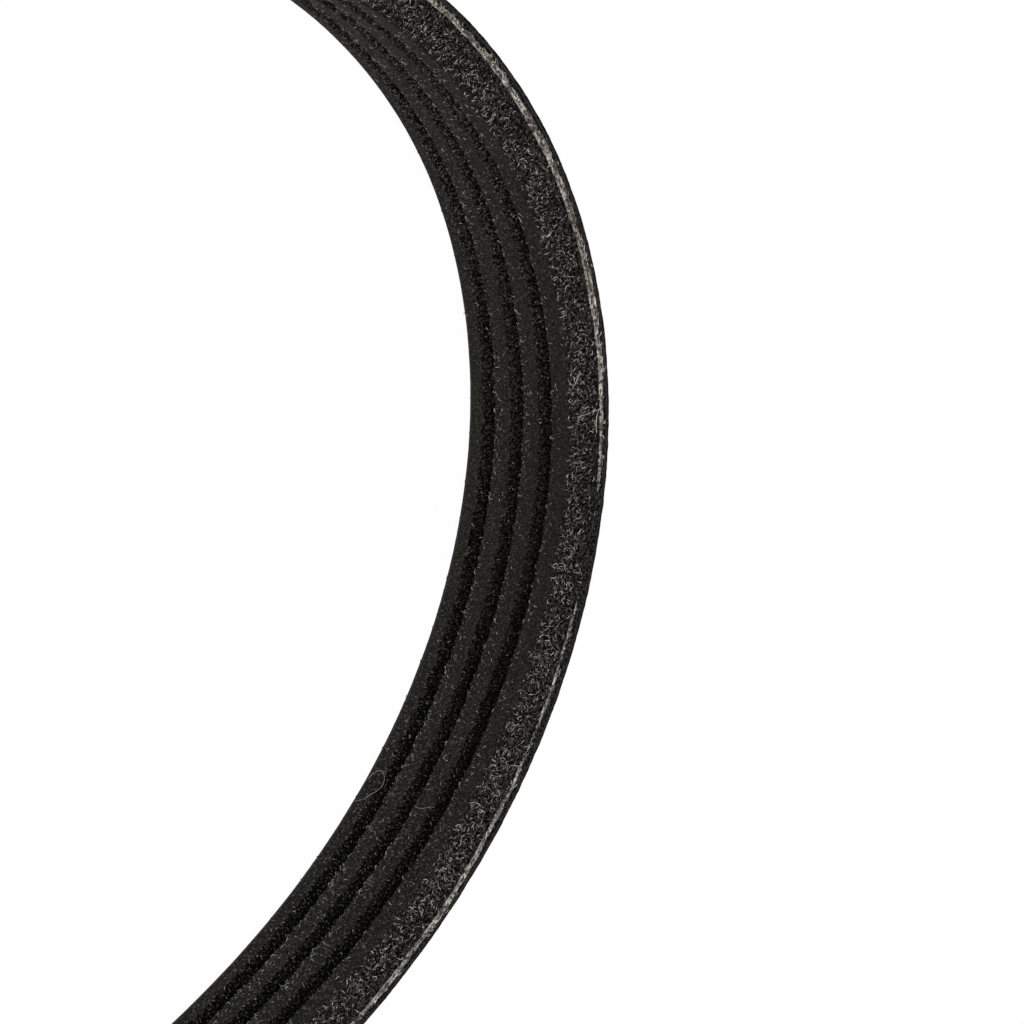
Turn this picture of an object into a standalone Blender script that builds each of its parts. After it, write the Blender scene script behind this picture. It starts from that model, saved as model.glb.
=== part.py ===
"""Ribbed drive belt of a car's air conditioning compressor, lying free of its pulleys.

The belt is a closed loop that stands on one cut edge, with the pulley axis along Z. It is built up
as the real one is: a rubber body whose ribs face the inside of the loop, one long cord wound round
and round above the ribs, and a thin rubber cover on the back. Belts are cut side by side from one
wide sleeve, so both edges are plain cuts, and each cut slices the first or last turn of the cord.
"""

import math

import bmesh
import bpy
import numpy as np

MM = 0.001

# Loop, seen along the pulley axis and measured on the middle of the cord
LOOP_LENGTH = 855 * MM
NOSE_RADIUS = 50.3 * MM
SIDE_RADIUS = 1500 * MM
NOSE_SHARPNESS = 2.65

# Section, from the back of the belt to the tips of its ribs
COVER_THICKNESS = 0.40 * MM
CORD_DIAMETER = 0.92 * MM
CUSHION_THICKNESS = 0.43 * MM
RIB_DEPTH = 2.05 * MM
BOND_GAP = 0.30 * MM

# Ribs
RIB_COUNT = 4
RIB_PITCH = 3.56 * MM
RIB_CREST_WIDTH = 1.92 * MM
RIB_ANGLE = math.radians(40)
RIBS_OFF_MIDDLE = -0.20 * MM
CREST_RADIUS = 0.12 * MM
GROOVE_RADIUS = 0.09 * MM
FAR_RIB_WEAR = 0.60 * MM
FAR_RIB_WEAR_DEPTH = 0.58 * MM

# Wound cord
CORD_PITCH = 1.30 * MM
CORD_SIDES = 6
CORD_END_SLICE = 0.75
CORD_END_TURN = 0.980
SHORTEST_CORD_STEP = 1 * MM

# Cover
COVER_EDGE_BEVEL = 0.12 * MM

# Facets: the largest turn and the longest straight run between two stations of the loop
RUBBER_STEP_TURN = math.radians(6)
RUBBER_STEP_RUN = 30 * MM
CORD_STEP_TURN = math.radians(9)
CORD_STEP_RUN = 80 * MM
ROUND_STEPS = 3
CURVE_SAMPLES = 4000

# Colours as linear values
RUBBER_COLOUR = (0.017, 0.017, 0.016, 1.0)
COVER_COLOUR = (0.020, 0.020, 0.020, 1.0)
CORD_COLOUR = (0.45, 0.38, 0.29, 1.0)

BELT_WIDTH = RIB_COUNT * RIB_PITCH
CORD_RADIUS = CORD_DIAMETER / 2
COVER_INNER = CORD_RADIUS + BOND_GAP
COVER_OUTER = COVER_INNER + COVER_THICKNESS
BODY_OUTER = -CORD_RADIUS - BOND_GAP
GROOVE_BOTTOM = BODY_OUTER - CUSHION_THICKNESS
RIB_TIP = GROOVE_BOTTOM - RIB_DEPTH


def clear_scene():
    """Remove whatever objects the file holds."""
    for item in list(bpy.data.objects):
        bpy.data.objects.remove(item, do_unlink=True)


def running_sum(values, step):
    """Integral of evenly spaced values from the first one on."""
    parts = (values[1:] + values[:-1]) * step / 2
    return np.concatenate([[0.0], np.cumsum(parts)])


class Loop:
    """The line of the cord's middle, with four like quarters.

    A quarter runs from the middle of a nose to the middle of a side. Its curvature falls smoothly
    from the nose's to the side's, over a distance at which the whole quarter turns by 90 degrees.
    """

    def __init__(self):
        self.quarter = LOOP_LENGTH / 4
        self.run = np.linspace(0.0, self.quarter, CURVE_SAMPLES)
        self.step = self.run[1] - self.run[0]
        short, long = NOSE_RADIUS / 10, LOOP_LENGTH * 10
        while long / short > 1 + 1e-12:
            middle = math.sqrt(short * long)
            if self.turned(middle)[-1] < math.pi / 2:
                short = middle
            else:
                long = middle
        self.turn = self.turned(middle)
        across = running_sum(np.cos(self.turn), self.step)
        along = running_sum(np.sin(self.turn), self.step)
        self.x = along[-1] - along
        self.y = across

    def turned(self, reach):
        """Angle turned since the nose, where the nose's bend reaches so far along the loop."""
        side = 1 / SIDE_RADIUS
        bend = side + (1 / NOSE_RADIUS - side) * np.exp(-((self.run / reach) ** NOSE_SHARPNESS))
        return running_sum(bend, self.step)

    def place(self, distance):
        """Position and outward direction at a distance round the loop from the middle of the +X nose."""
        quarters, rest = divmod(distance, self.quarter)
        quarter = int(round(quarters)) % 4
        from_nose = rest if quarter % 2 == 0 else self.quarter - rest
        x = np.interp(from_nose, self.run, self.x)
        y = np.interp(from_nose, self.run, self.y)
        turn = np.interp(from_nose, self.run, self.turn)
        sign_x = 1 if quarter in (0, 3) else -1
        sign_y = 1 if quarter in (0, 1) else -1
        point = np.array([sign_x * x, sign_y * y])
        outward = np.array([sign_x * math.cos(turn), sign_y * math.sin(turn)])
        return point, outward

    def stations(self, step_turn, step_run):
        """Distances round the loop, closer together where it bends."""
        effort = self.turn / step_turn + self.run / step_run
        count = math.ceil(effort[-1])
        quarter = np.interp(np.linspace(0.0, effort[-1], count + 1), effort, self.run)
        half = np.concatenate([quarter[:-1], 2 * self.quarter - quarter[:0:-1]])
        return np.concatenate([half, half + 2 * self.quarter])


def rounded(corners):
    """Outline through corners of offset, height and radius, with an arc wherever a corner has a radius."""
    outline = []
    for i, (offset, height, radius) in enumerate(corners):
        corner = np.array([offset, height])
        if not radius:
            outline.append((offset, height))
            continue
        back = np.array(corners[i - 1][:2]) - corner
        on = np.array(corners[(i + 1) % len(corners)][:2]) - corner
        shorter = min(np.linalg.norm(back), np.linalg.norm(on))
        back /= np.linalg.norm(back)
        on /= np.linalg.norm(on)
        half = math.acos(back @ on) / 2
        reach = min(radius / math.tan(half), shorter * 0.45)
        centre = corner + (back + on) / np.linalg.norm(back + on) * reach / math.cos(half)
        size = reach * math.tan(half)
        for step in range(ROUND_STEPS + 1):
            share = step / ROUND_STEPS
            arm = (corner + back * reach - centre) * (1 - share) + (corner + on * reach - centre) * share
            outline.append(tuple(centre + arm * size / np.linalg.norm(arm)))
    return outline


def ribbed_section():
    """Outline of the ribbed body as points of offset from the cord line and height.

    The knife doesn't follow the ribs, so they sit a little off the middle of the belt's width, and a
    cut edge may meet the flank of a rib before it reaches the groove's bottom.
    """
    slope = math.tan(RIB_ANGLE / 2)
    flank = RIB_DEPTH * slope
    corners = [(BODY_OUTER, BELT_WIDTH, 0), (BODY_OUTER, 0.0, 0)]
    for rib in range(RIB_COUNT):
        middle = (rib + 0.5) * RIB_PITCH + RIBS_OFF_MIDDLE
        low = middle - RIB_CREST_WIDTH / 2
        high = middle + RIB_CREST_WIDTH / 2
        if rib == 0:
            wear_depth = min(FAR_RIB_WEAR_DEPTH, RIB_DEPTH / 2)
            foot = max(0.0, low - flank)
            if foot > 0:
                corners.append((GROOVE_BOTTOM, 0.0, 0))
            corners.append((RIB_TIP + (low - foot) / slope, foot, 0))
            corners.append((RIB_TIP + wear_depth, low - wear_depth * slope, CREST_RADIUS))
            corners.append((RIB_TIP, low + FAR_RIB_WEAR, CREST_RADIUS))
        else:
            corners.append((GROOVE_BOTTOM, low - flank, GROOVE_RADIUS))
            corners.append((RIB_TIP, low, CREST_RADIUS))
        corners.append((RIB_TIP, high, CREST_RADIUS))
        if rib < RIB_COUNT - 1:
            corners.append((GROOVE_BOTTOM, high + flank, GROOVE_RADIUS))
    foot = min(BELT_WIDTH, high + flank)
    corners.append((RIB_TIP + (foot - high) / slope, foot, 0))
    if foot < BELT_WIDTH:
        corners.append((GROOVE_BOTTOM, BELT_WIDTH, 0))
    return rounded(corners)


def cover_section():
    """Outline of the back cover, with its two outer edges taken off."""
    bevel = min(COVER_EDGE_BEVEL, COVER_THICKNESS / 2)
    return [
        (COVER_INNER, BELT_WIDTH),
        (COVER_INNER, 0.0),
        (COVER_OUTER - bevel, 0.0),
        (COVER_OUTER, bevel),
        (COVER_OUTER, BELT_WIDTH - bevel),
        (COVER_OUTER - bevel, BELT_WIDTH),
    ]


def cord_section(height):
    """Outline of the cord where its middle is at a height, cut flat where an edge of the belt slices it."""
    whole = math.pi * (CORD_SIDES - 1) / CORD_SIDES
    below = height < BELT_WIDTH / 2
    inside = height if below else BELT_WIDTH - height
    sliced = math.acos(max(-1.0, min(1.0, -inside / CORD_RADIUS)))
    reach = min(whole, sliced)
    towards_middle = 1 if below else -1
    outline = []
    for side in range(CORD_SIDES):
        angle = reach * (2 * side / (CORD_SIDES - 1) - 1) * towards_middle
        offset = CORD_RADIUS * math.sin(angle)
        rise = CORD_RADIUS * math.cos(angle) * towards_middle
        outline.append((offset, height + rise))
    if not below:
        outline = outline[CORD_SIDES // 2:] + outline[:CORD_SIDES // 2]
    return outline


def space_point(loop, distance, offset, height):
    """Point at an outward offset from the cord line and a height above the lower cut edge."""
    point, outward = loop.place(distance)
    x, y = point + outward * offset
    return (x, y, height)


def bridge(mesh, first, second):
    """Faces between two rings of the same length."""
    count = len(first)
    for i in range(count):
        j = (i + 1) % count
        mesh.faces.new((first[i], first[j], second[j], second[i]))


def add_piece(name, mesh, colour, roughness):
    """Turn a bmesh into a named object with its own material."""
    bmesh.ops.triangulate(mesh, faces=mesh.faces[:])
    bmesh.ops.recalc_face_normals(mesh, faces=mesh.faces[:])
    data = bpy.data.meshes.new(name)
    mesh.to_mesh(data)
    mesh.free()
    data.shade_smooth()
    data.set_sharp_from_angle(angle=math.radians(15))
    material = bpy.data.materials.new(name)
    material.use_nodes = True
    surface = material.node_tree.nodes["Principled BSDF"]
    surface.inputs["Base Color"].default_value = colour
    surface.inputs["Roughness"].default_value = roughness
    surface.inputs["Metallic"].default_value = 0.0
    data.materials.append(material)
    piece = bpy.data.objects.new(name, data)
    bpy.context.scene.collection.objects.link(piece)
    return piece


def endless_band(name, loop, section, colour, roughness):
    """A section carried once round the loop and joined to itself."""
    mesh = bmesh.new()
    rings = []
    for distance in loop.stations(RUBBER_STEP_TURN, RUBBER_STEP_RUN):
        ring = [mesh.verts.new(space_point(loop, distance, *corner)) for corner in section]
        rings.append(ring)
    for i, ring in enumerate(rings):
        bridge(mesh, ring, rings[(i + 1) % len(rings)])
    return add_piece(name, mesh, colour, roughness)


def wound_cord(name, loop, colour, roughness):
    """One cord wound round the loop from the lower cut edge to the upper one."""
    spare = CORD_END_SLICE * CORD_DIAMETER - CORD_RADIUS
    lowest = -spare
    highest = BELT_WIDTH + spare
    turns = (highest - lowest) / CORD_PITCH
    last = (math.ceil(turns) + CORD_END_TURN) * LOOP_LENGTH
    first = last - turns * LOOP_LENGTH
    once = loop.stations(CORD_STEP_TURN, CORD_STEP_RUN)
    marks = [first]
    for turn in range(math.floor(first / LOOP_LENGTH), math.ceil(last / LOOP_LENGTH)):
        for distance in once + turn * LOOP_LENGTH:
            if first + SHORTEST_CORD_STEP < distance < last - SHORTEST_CORD_STEP:
                marks.append(distance)
    marks.append(last)
    mesh = bmesh.new()
    rings = []
    for distance in marks:
        height = lowest + (distance - first) / LOOP_LENGTH * CORD_PITCH
        section = cord_section(height)
        ring = [mesh.verts.new(space_point(loop, distance, *corner)) for corner in section]
        rings.append(ring)
    for ring, after in zip(rings, rings[1:]):
        bridge(mesh, ring, after)
    mesh.faces.new(rings[0])
    mesh.faces.new(rings[-1])
    return add_piece(name, mesh, colour, roughness)


def build():
    """Make the belt's three layers."""
    clear_scene()
    loop = Loop()
    endless_band("ribbed_body", loop, ribbed_section(), RUBBER_COLOUR, 0.85)
    wound_cord("tension_cord", loop, CORD_COLOUR, 0.80)
    endless_band("back_cover", loop, cover_section(), COVER_COLOUR, 0.70)


build()
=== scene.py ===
"""Looks of a ribbed air conditioning belt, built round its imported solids.

The belt is vulcanised from three layers: a ground rubber body with four V ribs, one polyester cord
wound round and round in bonding rubber, and a thin back cover. What makes it look used is loose
fibre: short flock that grinding left standing on the flanks of the ribs, and the frayed cord that
shows where the belt was cut from its sleeve.
"""

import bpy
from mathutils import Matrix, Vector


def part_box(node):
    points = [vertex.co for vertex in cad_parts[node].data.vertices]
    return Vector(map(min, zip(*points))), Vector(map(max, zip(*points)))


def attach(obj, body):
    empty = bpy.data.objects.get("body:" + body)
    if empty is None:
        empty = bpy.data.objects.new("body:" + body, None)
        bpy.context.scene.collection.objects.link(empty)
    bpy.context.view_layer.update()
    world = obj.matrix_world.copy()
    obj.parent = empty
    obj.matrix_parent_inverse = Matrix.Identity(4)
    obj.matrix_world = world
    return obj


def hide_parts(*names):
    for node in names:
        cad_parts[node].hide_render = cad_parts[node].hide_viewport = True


bl_info = {
    "name": "Ribbed belt finish",
    "version": (1, 0, 0),
    "blender": (4, 5, 0),
    "location": "3D View > Sidebar > Belt",
    "description": "Builds the rubber, cord and loose fibres of a ribbed drive belt on its solids",
    "category": "Object",
}

import math

import bpy
import numpy as np
from bpy.props import FloatProperty, FloatVectorProperty, IntProperty, PointerProperty
from bpy.types import Operator, Panel, PropertyGroup
from mathutils import Quaternion, Vector

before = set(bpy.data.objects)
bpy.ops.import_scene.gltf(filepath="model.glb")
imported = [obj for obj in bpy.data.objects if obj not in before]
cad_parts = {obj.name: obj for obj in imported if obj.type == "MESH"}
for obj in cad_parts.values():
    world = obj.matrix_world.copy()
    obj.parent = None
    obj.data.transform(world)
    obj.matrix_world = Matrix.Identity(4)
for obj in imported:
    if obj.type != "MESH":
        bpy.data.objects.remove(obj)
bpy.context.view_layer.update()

MM = 0.001
BODY = "root"
LOWER_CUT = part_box("ribbed_body")[0].z
UPPER_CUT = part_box("ribbed_body")[1].z

# How finely the bend is added up over a quarter of the loop, and how often its reach is halved
LOOP_SAMPLES = 4000
REACH_HALVINGS = 60

# Painted shade: a crest's wiped top gives way to the shade painted on its flank from this far inside the
# edge to as far past it
EDGE_RUN = 0.28 * MM

# No fibre lies lower than this over the lower cut edge, or stands higher than this over the upper one
FIBRE_CLEARANCE = 0.01 * MM
FIBRE_RISE = 0.22 * MM


def linear(code):
    """Linear red, green, blue and alpha of a colour written as sRGB hex."""
    parts = [int(code[i:i + 2], 16) / 255 for i in (0, 2, 4)]
    values = [p / 12.92 if p <= 0.04045 else ((p + 0.055) / 1.055) ** 2.4 for p in parts]
    return (*values, 1.0)


def length(name, description, value):
    """A size in metres that a user can change."""
    return FloatProperty(name=name, description=description, default=value, subtype="DISTANCE",
                         unit="LENGTH", precision=5)


def colour(name, description, code):
    """A colour that a user can change."""
    return FloatVectorProperty(name=name, description=description, default=linear(code), size=4,
                               subtype="COLOR", min=0.0, max=1.0)


class BeltSizes(PropertyGroup):
    """The belt's loop and section."""
    loop_length: length("Loop length", "Once round the loop at the middle of the cord", 855 * MM)
    nose_radius: length("Nose radius", "Tightest bend of the cord at each end of the loop", 50.3 * MM)
    side_radius: length("Side radius", "Slow outward bow of the long sides", 1500 * MM)
    nose_sharpness: FloatProperty(name="Nose sharpness", default=2.65, min=1.0, max=8.0,
                                  description="How quickly the bend of a nose gives way to the side")
    rib_pitch: length("Rib pitch", "From one rib to the next", 3.56 * MM)
    crest_width: length("Crest width", "Flat tip of a rib", 1.92 * MM)
    rib_depth: length("Rib depth", "From the tip of a rib to the groove's bottom", 2.05 * MM)
    rib_angle: FloatProperty(name="Rib angle", description="Angle between the two flanks of a rib",
                             default=math.radians(40), subtype="ANGLE", unit="ROTATION")
    ribs_off: length("Ribs off middle", "How far the knife's cuts put the ribs above the belt's middle",
                     -0.20 * MM)
    far_rib_wear: length("Far rib wear", "How much of the lowest rib's outer crest is worn off", 0.60 * MM)
    wear_depth: length("Wear depth", "How far down its flank that wear reaches", 0.58 * MM)
    cushion: length("Cushion", "Rubber between the groove's bottom and the bond of the cord", 0.43 * MM)
    bond: length("Bond", "Bonding rubber on each side of the cord", 0.30 * MM)
    cord_diameter: length("Cord diameter", "Thickness of the wound cord", 0.92 * MM)
    cord_pitch: length("Cord pitch", "Rise of the cord in one turn round the loop", 1.30 * MM)
    cover: length("Cover", "Thickness of the back cover", 0.40 * MM)
    station_run: length("Station run", "Length of one facet of the rubber along the loop", 1.7 * MM)


class BeltFibres(PropertyGroup):
    """Loose fibres on the rubber and the cut edges.

    Real flock and filaments are about 0.02 mm thick, too thin to show. They are drawn two to three
    times as thick, and fewer.
    """
    flock_length: length("Flock length", "Usual length of a fibre that stands out of a flank", 0.56 * MM)
    flock_thickness: length("Flock thickness", "Thickness of such a fibre", 0.062 * MM)
    flank_density: FloatProperty(name="Flank density", default=8.5, min=0.0,
                                 description="Fibres on a square millimetre of the end flanks")
    groove_density: FloatProperty(name="Groove density", default=3.0, min=0.0,
                                  description="Fibres on a square millimetre of the groove flanks")
    crest_density: FloatProperty(name="Crest density", default=3.6, min=0.0,
                                 description="Fibres on a square millimetre of the crests")
    combed: FloatProperty(name="Combed share", default=0.20, min=0.0, max=1.0, subtype="FACTOR",
                          description="Share of the fibres that running has left on the sides of the loop")
    strand_length: length("Strand length", "Usual length of a filament that the cut laid bare", 3.2 * MM)
    strand_thickness: length("Strand thickness", "Thickness of such a filament", 0.050 * MM)
    strand_density: FloatProperty(name="Strand density", default=5.0, min=0.0,
                                  description="Filaments on a square millimetre of bare cord")
    seed: IntProperty(name="Seed", description="Start of the random placing", default=7)


class BeltColours(PropertyGroup):
    """Colours of the belt's materials."""
    rubber: colour("Rubber", "Ground rubber of the ribs", "0A0906")
    rubber_dust: colour("Rubber dust", "Paler rubber where dust lies on it", "25221E")
    # Painted shade: this near-black colour is laid on the flanks past the crests' edges, on the end flanks
    # and cut edges, and on the knife's burr
    groove: colour("Groove", "Rubber deep in the grooves", "040403")
    cover: colour("Cover", "Rubber of the back", "0B0B0A")
    cord: colour("Cord", "Clean polyester cord", "E0DAD0")
    cord_dirt: colour("Cord dirt", "Cord that rubber has stained", "2B241E")
    flock: colour("Flock", "Pale fibre", "C6C2BC")
    flock_dark: colour("Dark flock", "Fibre that dust and rubber have darkened", "1C1A18")
    floor: colour("Floor", "Studio floor", "F4F4F2")


class BeltStage(PropertyGroup):
    """Camera and light."""
    camera_place: FloatVectorProperty(name="Camera place", description="Where the camera stands",
                                      default=(-77.85 * MM, 130.68 * MM, 262.48 * MM), subtype="XYZ",
                                      unit="LENGTH", precision=5)
    camera_aim: FloatVectorProperty(name="Camera aim", description="Point at the middle of the picture",
                                    default=(177.81 * MM, -12.11 * MM, 7.12 * MM), subtype="XYZ",
                                    unit="LENGTH", precision=5)
    camera_roll: FloatProperty(name="Camera roll", description="Turn of the camera about its own view",
                               default=math.radians(107.68), subtype="ANGLE", unit="ROTATION")
    lens: FloatProperty(name="Lens", description="Focal length in millimetres on a 36 mm sensor",
                        default=149.80, min=10.0)
    sky: FloatProperty(name="Sky", description="Strength of the even light from all round",
                       default=0.70, min=0.0)
    lamp: FloatProperty(name="Lamp", description="Power of the large soft lamp in watts",
                        default=17.0, min=0.0)
    floor_size: length("Floor size", "Side of the square floor", 6.0)


def sizes():
    """The size properties of the scene."""
    return bpy.context.scene.belt_sizes


def colours():
    """The colour properties of the scene."""
    return bpy.context.scene.belt_colours


def fibres():
    """The fibre properties of the scene."""
    return bpy.context.scene.belt_fibres


def running_sum(values, step):
    """Integral of evenly spaced values from the first one on."""
    return np.concatenate([[0.0], np.cumsum((values[1:] + values[:-1]) * step / 2)])


class Loop:
    """The line of the cord's middle, as the solids have it: four like quarters that bend less and less."""

    def __init__(self, size):
        self.length = size.loop_length
        self.quarter = size.loop_length / 4
        self.run = np.linspace(0.0, self.quarter, LOOP_SAMPLES)
        self.step = self.run[1] - self.run[0]
        self.size = size
        short, long = size.nose_radius / 10, size.loop_length * 10
        for _ in range(REACH_HALVINGS):
            middle = math.sqrt(short * long)
            if self.turned(middle)[-1] < math.pi / 2:
                short = middle
            else:
                long = middle
        self.turn = self.turned(middle)
        along = running_sum(np.sin(self.turn), self.step)
        self.x = along[-1] - along
        self.y = running_sum(np.cos(self.turn), self.step)

    def turned(self, reach):
        """Angle turned since the nose, where the nose's bend reaches so far along the loop."""
        side = 1 / self.size.side_radius
        nose = 1 / self.size.nose_radius
        bend = side + (nose - side) * np.exp(-((self.run / reach) ** self.size.nose_sharpness))
        return running_sum(bend, self.step)

    def place(self, distance):
        """Points and outward directions at distances round the loop from the middle of the +X nose."""
        distance = np.mod(distance, self.length)
        quarter = np.minimum((distance / self.quarter).astype(int), 3)
        rest = distance - quarter * self.quarter
        from_nose = np.where(quarter % 2 == 0, rest, self.quarter - rest)
        sign_x = np.where((quarter == 0) | (quarter == 3), 1.0, -1.0)
        sign_y = np.where(quarter < 2, 1.0, -1.0)
        turn = np.interp(from_nose, self.run, self.turn)
        points = np.stack([sign_x * np.interp(from_nose, self.run, self.x),
                           sign_y * np.interp(from_nose, self.run, self.y)], axis=1)
        outward = np.stack([sign_x * np.cos(turn), sign_y * np.sin(turn)], axis=1)
        return points, outward


def even_marks(loop, spacing):
    """Distances evenly spaced once round the loop."""
    count = round(loop.length / spacing)
    return np.arange(count) * loop.length / count


def link(item):
    """Put an object into the scene."""
    bpy.context.scene.collection.objects.link(item)
    return item


def mesh_object(name, points, edges=(), faces=()):
    """A new object from plain lists."""
    data = bpy.data.meshes.new(name)
    data.from_pydata([tuple(p) for p in points], [tuple(e) for e in edges], [tuple(f) for f in faces])
    data.update()
    return link(bpy.data.objects.new(name, data))


def write_attribute(item, name, kind, values):
    """Store one value for each point of a mesh."""
    attribute = item.data.attributes.new(name, kind, "POINT")
    key = "vector" if kind == "FLOAT_VECTOR" else "value"
    attribute.data.foreach_set(key, np.asarray(values, np.float32).ravel())


def drop(*items):
    """Remove helper objects and their meshes."""
    for item in items:
        data = item.data
        bpy.data.objects.remove(item, do_unlink=True)
        if data.users == 0:
            bpy.data.meshes.remove(data)


def add(tree, kind, inputs=None, **settings):
    """Add a node with its settings, and feed its inputs with values, outputs or other nodes' results."""
    made = tree.nodes.new(kind)
    for name, value in settings.items():
        setattr(made, name, value)
    for key, value in (inputs or {}).items():
        if isinstance(value, bpy.types.Node):
            value = next(output for output in value.outputs if output.enabled)
        if isinstance(value, bpy.types.NodeSocket):
            tree.links.new(value, made.inputs[key])
        else:
            made.inputs[key].default_value = value
    return made


def new_geometry_tree(name, inputs):
    """A geometry node tree with a geometry input and output, and named inputs of the given kinds."""
    tree = bpy.data.node_groups.new(name, "GeometryNodeTree")
    tree.interface.new_socket("Geometry", in_out="INPUT", socket_type="NodeSocketGeometry")
    for label, kind in inputs.items():
        tree.interface.new_socket(label, in_out="INPUT", socket_type=kind)
    tree.interface.new_socket("Geometry", in_out="OUTPUT", socket_type="NodeSocketGeometry")
    return tree, tree.nodes.new("NodeGroupInput").outputs, tree.nodes.new("NodeGroupOutput")


def grow(source, tree, values):
    """Run a node tree on an object and keep the result as the object's plain mesh."""
    modifier = source.modifiers.new(tree.name, "NODES")
    modifier.node_group = tree
    for item in tree.interface.items_tree:
        if item.in_out == "INPUT" and item.name in values:
            modifier[item.identifier] = values[item.name]
    graph = bpy.context.evaluated_depsgraph_get()
    result = bpy.data.meshes.new_from_object(source.evaluated_get(graph), preserve_all_data_layers=True,
                                             depsgraph=graph)
    source.modifiers.clear()
    old = source.data
    source.data = result
    result.name = source.name
    bpy.data.meshes.remove(old)


def finish_piece(piece, slot, *replaced):
    """Make a finished piece part of the belt."""
    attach(piece, BODY)
    if replaced:
        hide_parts(*replaced)


def swept_band_tree():
    """Node tree that carries a section once round a path and roughens its skin."""
    tree, given, out = new_geometry_tree("swept band", {
        "Section": "NodeSocketObject",
        "Skin Depth": "NodeSocketFloat",
        "Skin Grain": "NodeSocketFloat",
        "Lowest": "NodeSocketFloat",
        "Loop Length": "NodeSocketFloat",
        "Material": "NodeSocketMaterial",
    })
    section = add(tree, "GeometryNodeObjectInfo", {"Object": given["Section"]})
    outline = add(tree, "GeometryNodeMeshToCurve", {"Mesh": section.outputs["Geometry"]})
    path = add(tree, "GeometryNodeMeshToCurve", {"Mesh": given["Geometry"]})
    upright = add(tree, "GeometryNodeSetCurveNormal", {"Curve": path}, mode="Z_UP")
    band = add(tree, "GeometryNodeCurveToMesh", {"Curve": upright, "Profile Curve": outline})
    place = add(tree, "GeometryNodeInputPosition")
    frequency = add(tree, "ShaderNodeMath", {0: 1.0, 1: given["Skin Grain"]}, operation="DIVIDE")
    grain = add(tree, "ShaderNodeTexNoise", {"Vector": place, "Scale": frequency, "Detail": 3.0})
    swing = add(tree, "ShaderNodeMath", {0: grain, 1: 0.5}, operation="SUBTRACT")
    depth = add(tree, "ShaderNodeMath", {0: swing, 1: given["Skin Depth"]}, operation="MULTIPLY")
    normal = add(tree, "GeometryNodeInputNormal")
    shift = add(tree, "ShaderNodeVectorMath", {0: normal, "Scale": depth}, operation="SCALE")
    rough = add(tree, "GeometryNodeSetPosition", {"Geometry": band, "Offset": shift})
    split = add(tree, "ShaderNodeSeparateXYZ", {0: place}).outputs
    raised = add(tree, "ShaderNodeMath", {0: split[2], 1: given["Lowest"]}, operation="MAXIMUM")
    standing = add(tree, "ShaderNodeCombineXYZ", {0: split[0], 1: split[1], 2: raised})
    level = add(tree, "GeometryNodeSetPosition", {"Geometry": rough, "Position": standing})
    along = add(tree, "GeometryNodeInputNamedAttribute", {"Name": "along"})
    across = add(tree, "GeometryNodeInputNamedAttribute", {"Name": "across"})
    mean = add(tree, "GeometryNodeFieldOnDomain", {0: along}, domain="FACE")
    behind = add(tree, "ShaderNodeMath", {0: mean, 1: along}, operation="SUBTRACT")
    quarter = add(tree, "ShaderNodeMath", {0: given["Loop Length"], 1: 4.0}, operation="DIVIDE")
    wrapped = add(tree, "ShaderNodeMath", {0: behind, 1: quarter}, operation="GREATER_THAN")
    once = add(tree, "ShaderNodeMath", {0: wrapped, 1: given["Loop Length"]}, operation="MULTIPLY")
    onward = add(tree, "ShaderNodeMath", {0: along, 1: once}, operation="ADD")
    chart = add(tree, "ShaderNodeCombineXYZ", {0: onward, 1: across})
    mapped = add(tree, "GeometryNodeStoreNamedAttribute",
                 {"Geometry": level, "Name": "UVMap", "Value": chart},
                 data_type="FLOAT2", domain="CORNER")
    smooth = add(tree, "GeometryNodeSetShadeSmooth", {"Geometry": mapped})
    real = add(tree, "GeometryNodeRealizeInstances", {"Geometry": smooth})
    coated = add(tree, "GeometryNodeSetMaterial", {"Geometry": real, "Material": given["Material"]})
    tree.links.new(coated.outputs[0], out.inputs[0])
    return tree


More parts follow.
